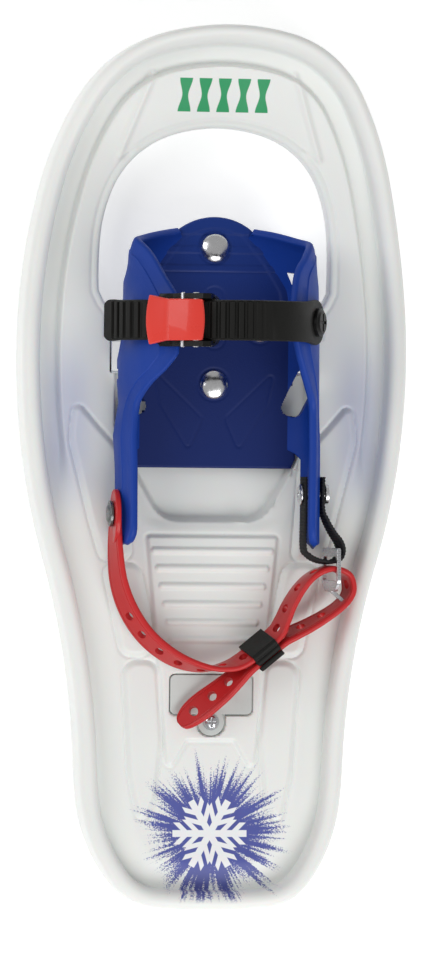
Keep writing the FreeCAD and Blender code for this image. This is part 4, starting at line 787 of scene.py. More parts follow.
def make_rim():
    """The rim's outer skin, whose inner edge meets the deck's own height, and its inside."""
    foot = OUTLINE - loop_normals(OUTLINE) * RING_INNER
    lift = deck_height(foot, np.full(len(OUTLINE), RING_INNER)) - CHANNEL
    top = [(inset, height + lift * smooth(inset, 8.7, RING_INNER)) for inset, height in rim_profile()]
    faces = strip_faces(len(OUTLINE), len(top), wrap_rows=True)
    add_mesh("deck_rim", swept_ring(OUTLINE, top), faces, DECK, "frame", "deck", ["deck"])
    roof = RIM_TOP - RIM_WALL
    inner = [(0.3, RIM_FOOT), (RIM_WALL, RIM_FOOT), (RIM_WALL, roof), (6.1, roof), (6.1, 12.0)]
    faces = strip_faces(len(OUTLINE), len(inner), wrap_rows=True)
    add_mesh("deck_rim_inside", swept_ring(OUTLINE, inner), faces, DECK, "frame", "deck", crease=30)


def deck_border(points):
    """Distance inside the edge of the deck's top, between the rim and the opening's lip."""
    from_rim = signed_distance(points, OUTLINE) - RING_INNER
    return np.minimum(from_rim, -signed_distance(points, OPENING) - LIP)


def make_field():
    plan, faces = field_points(0.6, (-84.0, -198.0), (84.0, 198.0), deck_border)
    inset = signed_distance(plan, OUTLINE)
    points = np.column_stack([plan, curled(plan[:, 1], deck_height(plan, inset))])
    add_mesh("deck_top", points, faces, DECK, "frame", "deck", crease=60)


def make_opening_lip():
    """The rounded edge of the opening and the wall below it."""
    edge = OPENING + loop_normals(OPENING) * LIP
    height = deck_height(edge, signed_distance(edge, OUTLINE))
    foot = np.where(height > 16.0, 11.0, 9.5)
    profile = [(-LIP, height), (-0.6, height - 0.16), (-0.17, height - 0.55), (0.0, height - LIP)]
    profile += [(0.0, foot), (-3.0, foot)]
    faces = strip_faces(len(OPENING), len(profile), wrap_rows=True)
    add_mesh("deck_lip", swept_ring(OPENING, profile), faces, DECK, "frame", "deck", crease=50)


def make_underside():
    """The lower faces, rails, bosses and light housing, taken from the solid deck's own mesh."""
    data = bpy.data.meshes.new("deck_underside")
    with editing(NODES["deck"].data, data) as mesh:
        centres = np.array([f.calc_center_median() for f in mesh.faces]) / MM
        slant = np.array([f.normal for f in mesh.faces])[:, 2]
        inset = signed_distance(centres[:, :2], OUTLINE)
        lip = np.abs(signed_distance(centres[:, :2], OPENING))
        ground = centres[:, 2] - curled(centres[:, 1], np.zeros(len(centres)))
        wall = (inset < 18.5) & (np.abs(slant) < 0.3) & (ground > 13.0)
        drop = (inset < 6.2) | (slant > 0.2) | (ground > 17.3) | (lip < 0.3) | wall
        gone = [face for face, out in zip(mesh.faces, drop) if out]
        bmesh.ops.delete(mesh, geom=gone, context="FACES")
    only_material(data, DECK)
    made = linked("deck_underside", data)
    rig.ride(made, "frame")
    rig.slot(made, "deck")


make_rim()
make_field()
make_opening_lip()
make_underside()

# ------------------------------------------------------------------ binding

RIGHT_SECTION = [(36.5, 17.0), (45.5, 26.0), (46.6, 36.0), (43.0, 50.0), (37.2, 60.0), (29.0, 67.5)]
LEFT_SECTION = [(36.5, 17.0), (45.5, 26.0), (46.2, 36.0), (43.5, 48.0), (38.0, 57.2), (24.6, 64.2)]
# Height of a wall's free edge along the shoe.
FREE_EDGE = [
    (-34.5, 50.0), (26.0, 50.0), (30.0, 50.8), (37.7, 57.5), (44.0, 61.3), (52.0, 64.2), (70.0, 68.5),
    (79.0, 66.8),
]
# Lines that both sails share where they run down to the tongue.
SAIL_ROOT = [(24.0, 101.5, 17.0), (25.6, 104.8, 20.4), (26.6, 107.4, 23.6), (27.0, 109.1, 26.0)]
SAIL_TIP = [
    (17.5, 108.5, 17.0), (17.9, 109.8, 18.4), (18.2, 110.8, 19.8), (18.4, 111.4, 21.0), (18.5, 112.0, 22.0),
]
SAIL_RIGHT = [
    [(36.0, 81.0, 17.0), (43.4, 84.0, 26.0), (45.6, 86.0, 36.0), (41.0, 88.0, 50.0), (32.4, 89.0, 60.5)],
    [(35.8, 83.0, 17.0), (42.2, 88.0, 27.0), (44.4, 92.0, 36.0), (42.4, 95.5, 47.0), (37.6, 97.5, 54.5)],
    [(35.0, 85.0, 17.0), (40.2, 91.5, 27.0), (42.8, 97.0, 35.0), (43.0, 101.5, 40.0), (41.4, 104.6, 45.0)],
    [(30.0, 92.5, 17.0), (33.6, 98.0, 23.0), (35.6, 102.5, 28.5), (36.2, 105.6, 32.5), (35.8, 107.4, 36.0)],
    SAIL_ROOT + [(27.0, 110.2, 28.5)],
    SAIL_TIP,
]
SAIL_LEFT = [
    [(36.0, 81.0, 17.0), (43.0, 84.0, 26.0), (44.6, 86.0, 36.0), (40.6, 87.0, 50.0), (30.2, 86.0, 61.2)],
    [(35.8, 83.0, 17.0), (41.6, 88.0, 27.0), (43.6, 92.0, 36.0), (41.8, 95.5, 46.5), (35.6, 97.5, 54.0)],
    [(35.0, 85.0, 17.0), (40.0, 91.5, 27.0), (42.6, 97.0, 35.0), (43.2, 101.5, 40.0), (42.0, 105.4, 45.0)],
    [(30.0, 92.5, 17.0), (33.6, 98.0, 23.0), (35.8, 102.5, 28.5), (36.6, 106.0, 32.5), (36.2, 108.2, 36.0)],
    SAIL_ROOT + [(27.2, 110.4, 28.5)],
    SAIL_TIP,
]
# How far each wall's widest part stands out from or in from its plain section, along the shoe.
SWELL_RIGHT = [(-34.5, 0.6), (10.0, 0.6), (25.0, 0.0), (72.0, -0.3), (80.0, -0.8)]
SWELL_LEFT = [
    (-34.5, 0.4), (0.0, 0.9), (15.0, 1.9), (22.0, 0.9), (30.0, -0.4), (40.0, 0.4), (50.0, 0.4),
    (62.0, -1.8), (80.0, -2.0),
]
WALL = 4.2
UP_THE_WALL = 24
FOOT_TOP, FOOT_UNDER = 21.0, 17.0
FOOTBED_HALF = [
    (17.0, 110.5), (27.0, 98.0), (35.5, 84.0), (37.5, 70.0), (38.5, 40.0), (38.5, 5.0), (36.5, 0.6),
]


def polyline_at(points, distances):
    """Points at those distances along a polyline."""
    points = np.asarray(points, float)
    steps = np.linalg.norm(np.diff(points, axis=0), axis=1)
    along = np.concatenate([[0], np.cumsum(steps)])
    return np.column_stack([np.interp(distances, along, column) for column in points.T])


def line_length(points):
    return float(np.linalg.norm(np.diff(np.asarray(points, float), axis=0), axis=1).sum())


def wall_columns(section, sail, swell, side):
    """Lines up the wall's outer face, from the rear end of the arm round to the tongue."""
    curve = catmull(section, 8)
    columns = []
    stations = [-34.5, -34.2, -33.5, -32.2, -30.0] + list(np.arange(-27.5, 80.0, 2.5))
    for y in stations:
        back = max(0.0, -27.0 - y)
        pinch = 7.5 - math.sqrt(max(0.0, 7.5**2 - back**2))
        low = 22.0 - 5.5 * min(1.0, max(0.0, (y - 6) / 4)) + pinch
        high = float(np.interp(y, *np.transpose(FREE_EDGE))) - pinch
        high = min(high, section[-1][1])
        z = np.linspace(max(low, FOOT_UNDER), high, UP_THE_WALL)
        x = np.interp(z, curve[:, 1], curve[:, 0])
        belly = smooth(z, 18.0, 28.0) * (1 - smooth(z, 40.0, 54.0))
        x = x + float(np.interp(y, *np.transpose(swell))) * belly
        columns.append(np.column_stack([x, np.full(UP_THE_WALL, y), z]))
    columns += [catmull(column, 6) for column in sail]
    even = np.array([polyline_at(c, np.linspace(0, line_length(c), UP_THE_WALL)) for c in columns])
    tail = even[-8:].transpose(1, 0, 2)
    rounded = np.array([catmull(row, 5) for row in tail]).transpose(1, 0, 2)
    even = np.vstack([even[:-8], rounded])
    even[:, :, 0] *= side
    return even


def wall_heights(length, round_at_foot):
    """Distances up a column, crowded at its rounded ends, with the half thickness and step there."""
    band = min(8.2, 0.42 * length)
    ends = [0.0, 0.12, 0.45, 0.9, 1.5]
    low = ends if round_at_foot else [0.0, 0.1, 0.2, 0.3, 0.4]
    middle = list(np.linspace(2.0, length - band - 0.6, 14))
    at = low + middle + [length - band, length - band / 2] + [length - d for d in reversed(ends)]
    at = np.clip(np.array(at), 0, length)
    radius = 1.5
    top = np.clip(length - at, 0, radius)
    foot = np.clip(at, 0, radius) if round_at_foot else np.full(len(at), radius)
    near = np.minimum(top, foot)
    half = WALL / 2 - radius + np.sqrt(radius**2 - (radius - near) ** 2)
    step = np.where(at > length - band - 0.1, 0.45, 0.0)
    return at, half, step


def make_wall(name, section, sail, swell, side):
    """A side wall with its arm and sail, rounded along its free edge and stepped to a thinner band."""
    even = wall_columns(section, sail, swell, side)
    across = np.gradient(even, axis=1)
    along = np.gradient(even, axis=0)
    normal = np.cross(along, across)
    normal /= np.linalg.norm(normal, axis=2)[:, :, None]
    if (normal[:, 10:14, 0] * side).mean() < 0:
        normal = -normal
    rows = []
    for i, (column, out) in enumerate(zip(even, normal)):
        length = line_length(column)
        at, half, step = wall_heights(length, column[0][1] < 8)
        outer = polyline_at(column, at)
        grid = np.linspace(0, length, len(column))
        out = np.column_stack([np.interp(at, grid, out[:, k]) for k in range(3)])
        half = half * {0: 0.55, 1: 0.8}.get(i, 1.0)
        middle = outer - out * WALL / 2
        front = middle + out * (half - step)[:, None]
        rear = middle - out * half[:, None]
        rows.append(np.vstack([front, rear[::-1]]))
    faces = tube_faces(len(rows), len(rows[0]))
    replaced = ["binding_cradle"]
    made = add_mesh(name, np.vstack(rows), faces, BINDING, "binding", "binding_blue", replaced, crease=42)
    fix_normals(made)
    return made


def cutter(outline, low, high):
    """A closed upright prism used only to cut holes; a point may carry its own radius."""
    loop = rounded_loop(outline, 1.0)
    return [(x, y, z) for z in (low, high) for x, y in loop], prism_faces(len(loop))


def cut_holes(thing, cutters):
    """Take closed shapes out of a mesh, once, and leave no modifier or helper behind."""
    points, faces = [], []
    for more_points, more_faces in cutters:
        start = len(points)
        points += list(more_points)
        faces += [tuple(start + i for i in face) for face in more_faces]
    tool = linked("hole_tool", millimetre_mesh("hole_tool", points, faces))
    fix_normals(tool)
    modifier = thing.modifiers.new("holes", "BOOLEAN")
    modifier.object = tool
    modifier.solver = "EXACT"
    modifier.use_self = True
    depsgraph = bpy.context.evaluated_depsgraph_get()
    depsgraph.update()
    result = bpy.data.meshes.new_from_object(thing.evaluated_get(depsgraph))
    thing.modifiers.clear()
    thing.data = result
    result.shade_smooth()
    result.set_sharp_from_angle(angle=math.radians(38))
    bpy.data.objects.remove(tool)


# Corners of a slot about its own middle, and of a relief beside the middle line, with their radii.
SLOT = [(-4.6, -12.0, 3.6), (4.6, -12.0, 3.6), (4.6, 12.5, 1.5), (-4.6, 9.0, 1.5)]
RELIEF = [(32.8, 91.4, 0.3), (38.6, 90.4, 0.3), (36.6, 83.0, 0.3)]


def vents():
    """The slanted slots where the walls meet the footbed, and the reliefs under the sails."""
    shapes = []
    for side in (1, -1):
        turn = math.radians(-side * 24)
        slot = []
        for u, v, r in SLOT:
            x = side * u * math.cos(turn) - v * math.sin(turn) + side * 39.6
            y = side * u * math.sin(turn) + v * math.cos(turn) + 36.0
            slot.append((x, y, r))
        shapes.append(cutter(slot, 10.0, 33.0))
        shapes.append(cutter([(side * x, y, r) for x, y, r in RELIEF], 10.0, 30.0))
    return shapes


def footbed_outline():
    tongue = arc_points((-17.0, 110.5), (0.0, 116.5), (17.0, 110.5), 0.8)
    right = np.array(FOOTBED_HALF)
    left = right[::-1] * (-1, 1)
    loop = tongue + [right[0]]
    for a, b in zip(np.vstack([right, left]), np.vstack([right, left])[1:]):
        count = max(1, int(np.hypot(*(b - a)) / 1.5))
        loop += [a + (b - a) * i / count for i in range(1, count + 1)]
    return np.array(loop[:-1])


PANELS = [
    [(-15.6, 108.4), (15.6, 108.4), (20.8, 102.9), (-20.8, 102.9)],
    [(-24.2, 99.7), (24.2, 99.7), (27.2, 94.2), (-27.2, 94.2)],
]
MIDDLE_OUTLINE = [(-4.9, 84.0, 4.8), (4.9, 84.0, 4.8), (4.9, 55.5, 4.8), (-4.9, 55.5, 4.8)]
SIDE_OUTLINES = [
    [(26.0, 86.5, 1.5), (22.5, 70.0, 9), (12.5, 53.5, 1.2), (17.0, 70.0, 9)],
    [(29.0, 46.5, 1.5), (5.2, 23.6, 2.5), (11.8, 8.6, 1.5), (25.2, 30.2, 6)],
]
RIVETS = [(0.0, 102.2), (0.0, 39.1), (-21.5, 65.6), (21.5, 65.6)]


def footbed_height(plan, inset):
    height = FOOT_TOP - 0.45 * smooth(inset, 4.6, 5.8) * smooth(plan[:, 1], 60.0, 80.0)
    for outline in PANELS:
        panel = near_distance(plan, rounded_loop(outline, 0.5), 4.0)
        height = height - 0.5 * smooth(panel, -0.35, 0.35)
    rule = segment_distance(plan, (-29.0, 91.0), (29.0, 91.0))
    height = height - 0.35 * np.exp(-((rule / 0.45) ** 2))
    outlines = [MIDDLE_OUTLINE]
    for outline in SIDE_OUTLINES:
        outlines += [outline, [(-x, y, radius) for x, y, radius in outline]]
    for outline in outlines:
        edge = near_distance(plan, rounded_loop(outline, 1.0), 4.0)
        height = height - 0.30 * np.exp(-((edge / 0.45) ** 2)) - 0.12 * smooth(edge, -0.2, 0.4)
    for x, y in RIVETS:
        seat = np.hypot(plan[:, 0] - x, plan[:, 1] - y)
        height = height - 0.35 * np.exp(-(((seat - 7.4) / 0.45) ** 2))
    return height


def make_footbed():
    """The footbed's top, its rounded edge and its flat underside."""
    loop = footbed_outline()
    low, high = (-39.0, -1.0), (39.0, 118.0)

    def border(points):
        return signed_distance(points, loop) - 0.9

    plan, faces = field_points(0.5, low, high, border)
    inset = signed_distance(plan, loop)
    points = np.column_stack([plan, footbed_height(plan, inset)])
    top = add_mesh("footbed_top", points, faces, FOOTBED, "binding", "binding_blue", crease=50)
    outward = loop_normals(loop)
    rows = []
    rounding = (
        (0.9, FOOT_TOP), (0.35, FOOT_TOP - 0.22), (0.0, FOOT_TOP - 0.9),
        (0.0, FOOT_UNDER + 0.6), (0.9, FOOT_UNDER),
    )
    for offset, height in rounding:
        plan = loop - outward * offset
        rows.append(np.column_stack([plan, np.full(len(loop), height)]))
    points = np.stack(rows, axis=1).reshape(-1, 3)
    faces = strip_faces(len(loop), len(rows), wrap_rows=True)
    skirt = add_mesh("footbed_edge", points, faces, FOOTBED, "binding", "binding_blue", crease=50)
    fix_normals(skirt)
    plan, faces = field_points(2.0, low, high, border)
    flat = np.column_stack([plan, np.full(len(plan), FOOT_UNDER)])
    under = add_mesh("footbed_under", flat, [f[::-1] for f in faces], FOOTBED, "binding", "binding_blue")
    return top, skirt, under


def make_cradle():
    walls = (
        ("wall_right", RIGHT_SECTION, SAIL_RIGHT, SWELL_RIGHT, 1),
        ("wall_left", LEFT_SECTION, SAIL_LEFT, SWELL_LEFT, -1),
    )
    for name, section, sail, swell, side in walls:
        cut_holes(make_wall(name, section, sail, swell, side), vents())
    for thing in make_footbed():
        drop_faces(thing, vents_plan())


def vents_plan():
    return [np.array([p[:2] for p in points[:len(points) // 2]]) for points, _ in vents()]


def drop_faces(thing, loops):
    """Leave out the faces that lie inside any of the plan loops."""
    with editing(thing.data, thing.data) as mesh:
        centres = np.array([f.calc_center_median() for f in mesh.faces])[:, :2] / MM
        gone = np.zeros(len(centres), bool)
        for loop in loops:
            gone |= near_distance(centres, loop, 3.0) > 0
        bmesh.ops.delete(mesh, geom=[f for f, out in zip(mesh.faces, gone) if out], context="FACES")


# ------------------------------------------------------------------ ladder strap and buckle

STRAP_ALONG = 67.5
BUCKLE_AT = (-24.0, 72.2)
BUCKLE_TILT = math.radians(23.0)
STRAP_HALF = 1.2


def strap_stations():
    """Distance, x, z and slope down the strap's centre line, from its riveted end to its free end."""
    root, bend, over = 15.0, 37.12, 16.0
    tilt, drop, hang = BUCKLE_TILT, math.radians(60.0), math.radians(62.0)
    x = BUCKLE_AT[0] + over * math.cos(tilt) + bend * (math.sin(tilt) + math.sin(drop))
    x += root * math.cos(drop)
    z = BUCKLE_AT[1] + over * math.sin(tilt) - bend * (math.cos(tilt) - math.cos(drop))
    z -= root * math.sin(drop)
    legs = [
        (root, -drop, -drop), (bend * (drop + tilt), -drop, tilt), (30.0, tilt, tilt),
        (24.0 * math.radians(39.0), tilt, hang), (13.0, hang, hang),
    ]
    rows, distance = [(0.0, x, z, -drop)], 0.0
    for length, first, last in legs:
        count = max(2, int(length / 0.3))
        for i in range(count):
            slope = first + (last - first) * (i + 0.5) / count
            x -= math.cos(slope) * length / count
            z -= math.sin(slope) * length / count
            distance += length / count
            rows.append((distance, x, z, first + (last - first) * (i + 1) / count))
    return np.array(rows)


def ridge_height(s, x, total):
    """Ratchet ridges: strong under the buckle and to the free end, fading towards the rivet."""
    phase = (s / 4.0) % 1.0
    tooth = smooth(phase, 0.0, 0.10) * (1 - smooth(phase, 0.60, 0.78))
    fade = (1 - smooth(x, 0.0, 19.0)) * (1 - smooth(s, total - 6.6, total - 6.2))
    return 1.15 * tooth * fade


def strap_half_width(s, left):
    """Half the strap's width: a round end about the rivet, and rounded corners at the free end."""
    eye, around, corner = 8.95, 10.4, 4.0
    if s < eye:
        return math.sqrt(max(0.3, around**2 - (around * (eye - s) / (eye + 0.1)) ** 2))
    if left < corner:
        return 9.5 - corner + math.sqrt(max(0.0, corner**2 - (corner - left) ** 2))
    if left < 12.0:
        return 9.5 - 0.3 * float(smooth(np.array(left), 6, 12))
    return 9.2 + (around - 9.2) * math.exp(-(((s - eye) / 9.0) ** 2))


def make_strap():
    """The ladder strap's bent body with its ridges, rounded at both ends."""
    stations = strap_stations()
    total = stations[-1, 0]
    rows = []
    for s, x, z, slope in stations:
        rear = strap_half_width(s, total - s)
        left = total - s
        top = STRAP_HALF + float(ridge_height(np.array(s), np.array(x), total))
        thin = min(1.0, 0.45 + min(s, left) / 1.0)
        outline = [
            (-1.0, 0.0), (-0.985, 0.6), (-0.945, 1.0), (-0.895, 1.0), (-0.885, None), (0.885, None),
            (0.895, 1.0), (0.945, 1.0), (0.985, 0.6), (1.0, 0.0), (0.985, -0.6), (0.945, -1.0),
            (-0.945, -1.0), (-0.985, -0.6),
        ]
        up = np.array([-math.sin(slope), math.cos(slope)])
        row = []
        for across, level in outline:
            rise = (top if level is None else level * STRAP_HALF) * thin
            row.append((x + up[0] * rise, STRAP_ALONG + across * rear, z + up[1] * rise))
        rows.append(row)
    strap = add_mesh(
        "strap_body", np.array(rows).reshape(-1, 3), tube_faces(len(rows), len(rows[0])),
        STRAP_BLACK, "binding", "strap_black", ["ladder_strap"], crease=30,
    )
    fix_normals(strap)


def buckle_place():
    at = Matrix.Translation((BUCKLE_AT[0], STRAP_ALONG, BUCKLE_AT[1]))
    return at @ Matrix.Rotation(-BUCKLE_TILT, 4, "Y")


def make_lever():
    """The red lever: bowed ends, a flared and stepped thumb end, and two ears on the pin."""
    top = [
        (-14.2, 5.2), (-11.4, 6.8), (-7.0, 8.3), (-4.4, 9.2), (-3.8, 9.75), (2.0, 10.3),
        (8.4, 10.4), (11.0, 9.4), (11.6, 8.2),
    ]
    under = [(8.4, 7.7), (-3.8, 7.6), (-11.4, 4.7), (-14.0, 4.1)]
    profile = top + under
    place = buckle_place()
    rows = []
    for lane in np.linspace(-1, 1, 15):
        row = []
        for x, z in profile:
            half = np.interp(x, [-14.2, -11.4, -8.5, -4.0, 6.0, 11.6], [11.4, 10.4, 9.7, 9.4, 9.4, 9.3])
            bow = (1 - lane**2) * np.interp(x, [-14.2, -8.0, 7.0, 11.6], [-1.5, 0.0, 0.0, 1.2])
            crown = -0.35 * lane**2
            row.append(place @ Vector((x + bow, lane * half, z + crown)))
        rows.append(row)
    faces = tube_faces(len(rows), len(profile))
    points = [tuple(p) for row in rows for p in row]
    replaced = ["buckle_lever"]
    plate = add_mesh("lever_plate", points, faces, LEVER_RED, "lever", "lever_red", replaced, crease=24)
    fix_normals(plate)
    bevelled(plate, 0.55, angle=50)
    ear = [(2.5, 9.2), (5.0, 3.6), (6.4, 2.2), (8.2, 1.8), (10.0, 2.3), (11.0, 3.6), (11.6, 9.2)]
    for name, low in (("lever_ear_front", 6.75), ("lever_ear_rear", -9.15)):
        prism(name, ear, low, low + 2.4, place, LEVER_RED, "lever", "lever_red", bevel=0.4)


# ------------------------------------------------------------------ heel strap and webbing

# Centre line of each strap, with the lean of its width in degrees.
HEEL_ROUTE = [
    (-48.0, -20.7, 37.0, -4), (-47.8, -36.0, 36.2, -12), (-45.8, -52.0, 34.8, -19), (-40.4, -66.0, 33.9, -24),
    (-31.6, -78.0, 33.6, -25), (-19.6, -86.9, 33.6, -22), (-6.6, -91.2, 33.7, -10), (4.0, -90.8, 33.8, 8),
    (13.1, -87.1, 33.9, 20), (27.0, -75.7, 33.9, 20), (30.6, -69.6, 34.3, 15), (33.6, -62.4, 35.0, 12),
    (38.0, -54.8, 35.8, 9), (43.0, -49.2, 36.3, 5), (48.6, -46.0, 36.2, 2), (54.8, -45.2, 35.2, 0),
    (60.2, -48.0, 34.2, -6), (62.0, -53.2, 33.5, -10), (61.0, -58.0, 33.1, -9), (57.0, -62.6, 32.9, -9),
    (50.2, -67.4, 32.7, -12), (42.9, -71.6, 32.6, -16), (36.0, -75.0, 32.5, -19), (29.5, -78.7, 32.5, -20),
    (15.6, -90.1, 32.5, -20), (9.5, -95.8, 32.0, -28), (3.2, -101.6, 31.0, -38), (-3.6, -107.2, 29.6, -46),
    (-9.6, -112.2, 28.2, -50), (-15.4, -117.8, 27.0, -50),
]
WEB_ROUTE = [
    (39.6, -3.0, 37.0, 0), (39.6, -20.0, 37.0, 0), (39.6, -35.4, 36.9, 0), (41.8, -39.0, 36.6, -2),
    (45.6, -41.2, 36.0, -4), (49.6, -42.1, 35.4, -3), (53.4, -42.0, 34.8, 0), (56.6, -40.3, 34.3, 6),
    (57.6, -36.8, 34.4, 8), (56.4, -32.8, 35.0, 8), (53.2, -28.4, 35.8, 5), (49.8, -22.6, 36.8, 2),
    (47.9, -17.0, 37.0, 0), (47.9, -3.0, 37.0, 0),
]
HEEL_RIVET = (-46.2, -20.7, 37.0)
HEEL_HALF, HEEL_THICK, HEEL_TAPER = 7.5, 1.25, 17.0
FIRST_HOLE, HOLE_PITCH = 48.0, 10.5
KEEPER_AT, HOOK_AT = (21.3, -82.9, 33.2), (56.0, -57.5, 34.2)


def route_frames(route, step):
    """Stations along a strap's route: centre, direction, the way its width runs and its face."""
    fine = catmull(route, 14)
    steps = np.linalg.norm(np.diff(fine[:, :3], axis=0), axis=1)
    along = np.concatenate([[0], np.cumsum(steps)])
    s = np.linspace(0, along[-1], int(along[-1] / step) + 1)
    even = np.column_stack([np.interp(s, along, column) for column in fine.T])
    centre, lean = even[:, :3], np.radians(even[:, 3])
    ahead = np.gradient(centre, axis=0)
    ahead /= np.linalg.norm(ahead, axis=1)[:, None]
    side = np.cross(ahead, (0, 0, 1))
    side /= np.linalg.norm(side, axis=1)[:, None]
    up = np.cross(side, ahead)
    rise = up * np.cos(lean)[:, None] + side * np.sin(lean)[:, None]
    face = side * np.cos(lean)[:, None] - up * np.sin(lean)[:, None]
    return s, centre, ahead, rise, face


def sweep_band(name, frames, outline_at, material, body, slot, replaced):
    """Carry an outline of (width, face) points along the stations and close both ends."""
    s, centre, _, rise, face = frames
    rows = []
    for i in range(len(s)):
        outline = outline_at(s[i], s[-1])
        rows.append([centre[i] + rise[i] * a + face[i] * b for a, b in outline])
    points, faces = np.array(rows).reshape(-1, 3), tube_faces(len(rows), len(rows[0]))
    made = add_mesh(name, points, faces, material, body, slot, replaced, crease=32)
    fix_normals(made)
    return made


def heel_outline(s, total):
    """Section of the heel strap: soft edges and a shallow groove beside each, rounded at the tail."""
    left = total - s
    half = HEEL_HALF
    if left < HEEL_TAPER:
        half = 1.6 + 5.9 * math.sqrt(max(0.0, 1 - ((HEEL_TAPER - left) / HEEL_TAPER) ** 2.2))
    k, t, groove = half / HEEL_HALF, HEEL_THICK, HEEL_THICK - 0.28
    side = [(HEEL_HALF, 0.0), (7.42, 0.55), (7.1, 1.05), (6.6, t)]
    side += [(5.6, t), (5.35, groove), (5.1, groove), (4.85, t)]
    front = side + [(-a, b) for a, b in reversed(side)]
    rear = [(-7.42, -0.55), (-7.1, -1.05), (-6.6, -t), (6.6, -t), (7.1, -1.05), (7.42, -0.55)]
    return [(a * k, b) for a, b in front + rear]


def hole_tools(frames, skip, sides=18):
    """Oval holes along the middle of the strap, but for those near a place to skip."""
    s, centre, ahead, rise, face = frames
    tools = []
    at = FIRST_HOLE
    while at < s[-1] - 6.0:
        i = int(np.argmin(np.abs(s - at)))
        at += HOLE_PITCH
        if any(np.linalg.norm(centre[i] - np.array(p)) < r for p, r in skip):
            continue
        ring = []
        for side in (-2.3, 2.3):
            for step in range(sides):
                angle = 2 * math.pi * step / sides
                u, v = 2.1 * math.cos(angle), 2.9 * math.sin(angle)
                ring.append(centre[i] + ahead[i] * u + rise[i] * v + face[i] * side)
        tools.append((ring, prism_faces(sides)))
    return tools


def make_heel_strap():
    """The perforated strap and the round root under its rivet."""
    frames = route_frames(HEEL_ROUTE, 1.0)
    strap = sweep_band(
        "heel_band", frames, heel_outline, STRAP_RED, "heel_loop", "strap_red", ["heel_strap"],
    )
    cut_holes(strap, hole_tools(frames, [(KEEPER_AT, 9.0), (HOOK_AT, 5.0)]))
    x, y, z = HEEL_RIVET
    root = []
    for step in range(40):
        angle = 2 * math.pi * step / 40
        root.append((12.4 * math.cos(angle), 10.3 * math.sin(angle)))
    place = Matrix.Translation((x - 0.5, y - 1.2, z)) @ Matrix.Rotation(math.pi / 2, 4, "Z")
    prism("heel_root", root, 0.0, 2.5, place, STRAP_RED, "heel_loop", "strap_red", bevel=0.7)


def web_outline(s, _total):
    """Section of the webbing, whose thickness swells and falls along it as cross ribs."""
    rib = 0.75 + 0.16 * math.cos(2 * math.pi * s / 1.5)
    front = [(6.0, 0.0), (5.8, rib * 0.75), (5.2, rib), (0.0, rib + 0.03), (-5.2, rib), (-5.8, rib * 0.75)]
    return front + [(-across, -level) for across, level in front]


def keeper_ridges():
    """Three rounded ridges along the top of the keeper."""
    turn = Matrix.Rotation(math.radians(39.5), 4, "Z") @ Matrix.Rotation(math.radians(20.0), 4, "X")
    place = Matrix.Translation(KEEPER_AT) @ turn @ Matrix.Rotation(math.pi / 2, 4, "Z")
    for number, middle in enumerate((-3.1, 0.0, 3.1)):
        angles = [math.pi * i / 10 for i in range(11)]
        arc = [(middle + 1.35 * math.cos(angle), 8.7 + 0.9 * math.sin(angle)) for angle in angles]
        name = f"keeper_ridge_{number + 1}"
        prism(name, arc, -6.4, 6.4, place, STRAP_BLACK, "keeper", "strap_black", bevel=0.3)


def make_webbing():
    """The ribbed loop, fast to the inner arm at its start and to the hook at its bend."""
    loop = sweep_band(
        "web_loop", route_frames(WEB_ROUTE, 0.25), web_outline, WEBBING, None, "webbing", ["webbing_loop"],
    )
    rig.blend(loop, "binding", "heel_loop", (0.0437, -0.014, 0.037), (0.0530, -0.036, 0.0355))


# ------------------------------------------------------------------ small parts


def lathe(name, profile, places, material, body, slot, replaced):
    """A profile of (radius, height) points turned about Z, once at each place."""
    points, faces, count = [], [], 56
    for place in places:
        start = len(points)
        for radius, height in profile:
            for step in range(count):
                angle = 2 * math.pi * step / count
                across, along = radius * math.cos(angle), radius * math.sin(angle)
                points.append(tuple(place @ Vector((across, along, height))))
        for a, b, c, d in strip_faces(len(profile), count, wrap_columns=True):
            faces.append((start + a, start + b, start + c, start + d))
    add_mesh(name, points, faces, material, body, slot, replaced, crease=30.0)


def make_rivets():
    """Domed nickel heads, with their shanks and the heads clinched below."""
    dome = [
        (0.02, 2.5), (1.6, 2.43), (3.0, 2.22), (4.2, 1.90), (5.2, 1.50), (6.0, 1.05),
        (6.45, 0.62), (6.65, 0.2), (6.65, 0.0),
    ]
    shank = [(6.4, -0.02), (2.5, -0.02), (2.5, -5.5)]
    clinched = [(4.6, -5.52), (4.5, -6.9), (4.0, -7.2), (0.02, -7.2)]
    places = [Matrix.Translation((x, y, FOOT_TOP - 0.05)) for x, y in RIVETS]
    lathe("rivet_heads", dome + shank + clinched, places, NICKEL, "binding", "steel", ["crampon_rivets"])


FINISH = {
    "axle_rod": STEEL, "axle_push_nuts": STEEL, "battery_door": DOOR, "door_gasket": SEAL,
    "screw_insert": BRASS, "cell_tray": TRAY, "button_cells": NICKEL, "cell_contacts": NICKEL,
    "circuit_board": BOARD, "leds": LENS, "motion_switch": STEEL, "driver_chip": CHIP,
    "door_screw": STEEL, "toe_crampon": CRAMPON, "pivot_bushes": BUSH, "ladder_strap_rivet": BUCKLE_BLACK,
    "ladder_rivet_washer": STEEL, "buckle_base": BUCKLE_BLACK, "buckle_rivet": STEEL, "lever_pin": STEEL,
    "buckle_pawl": SPRING, "pawl_pin": STEEL, "lever_springs": SPRING, "heel_strap_rivet": DARK_STEEL,
    "webbing_rivet": NICKEL, "hook_buckle": STEEL, "strap_keeper": STRAP_BLACK,
}
ROUNDED = {
    "battery_door": 0.35, "door_screw": 0.15, "toe_crampon": 0.3, "ladder_strap_rivet": 0.22,
    "buckle_base": 0.7, "hook_buckle": 0.45, "strap_keeper": 0.5, "heel_strap_rivet": 0.25,
    "webbing_rivet": 0.25, "buckle_pawl": 0.2, "pivot_bushes": 0.3, "axle_push_nuts": 0.2,
}


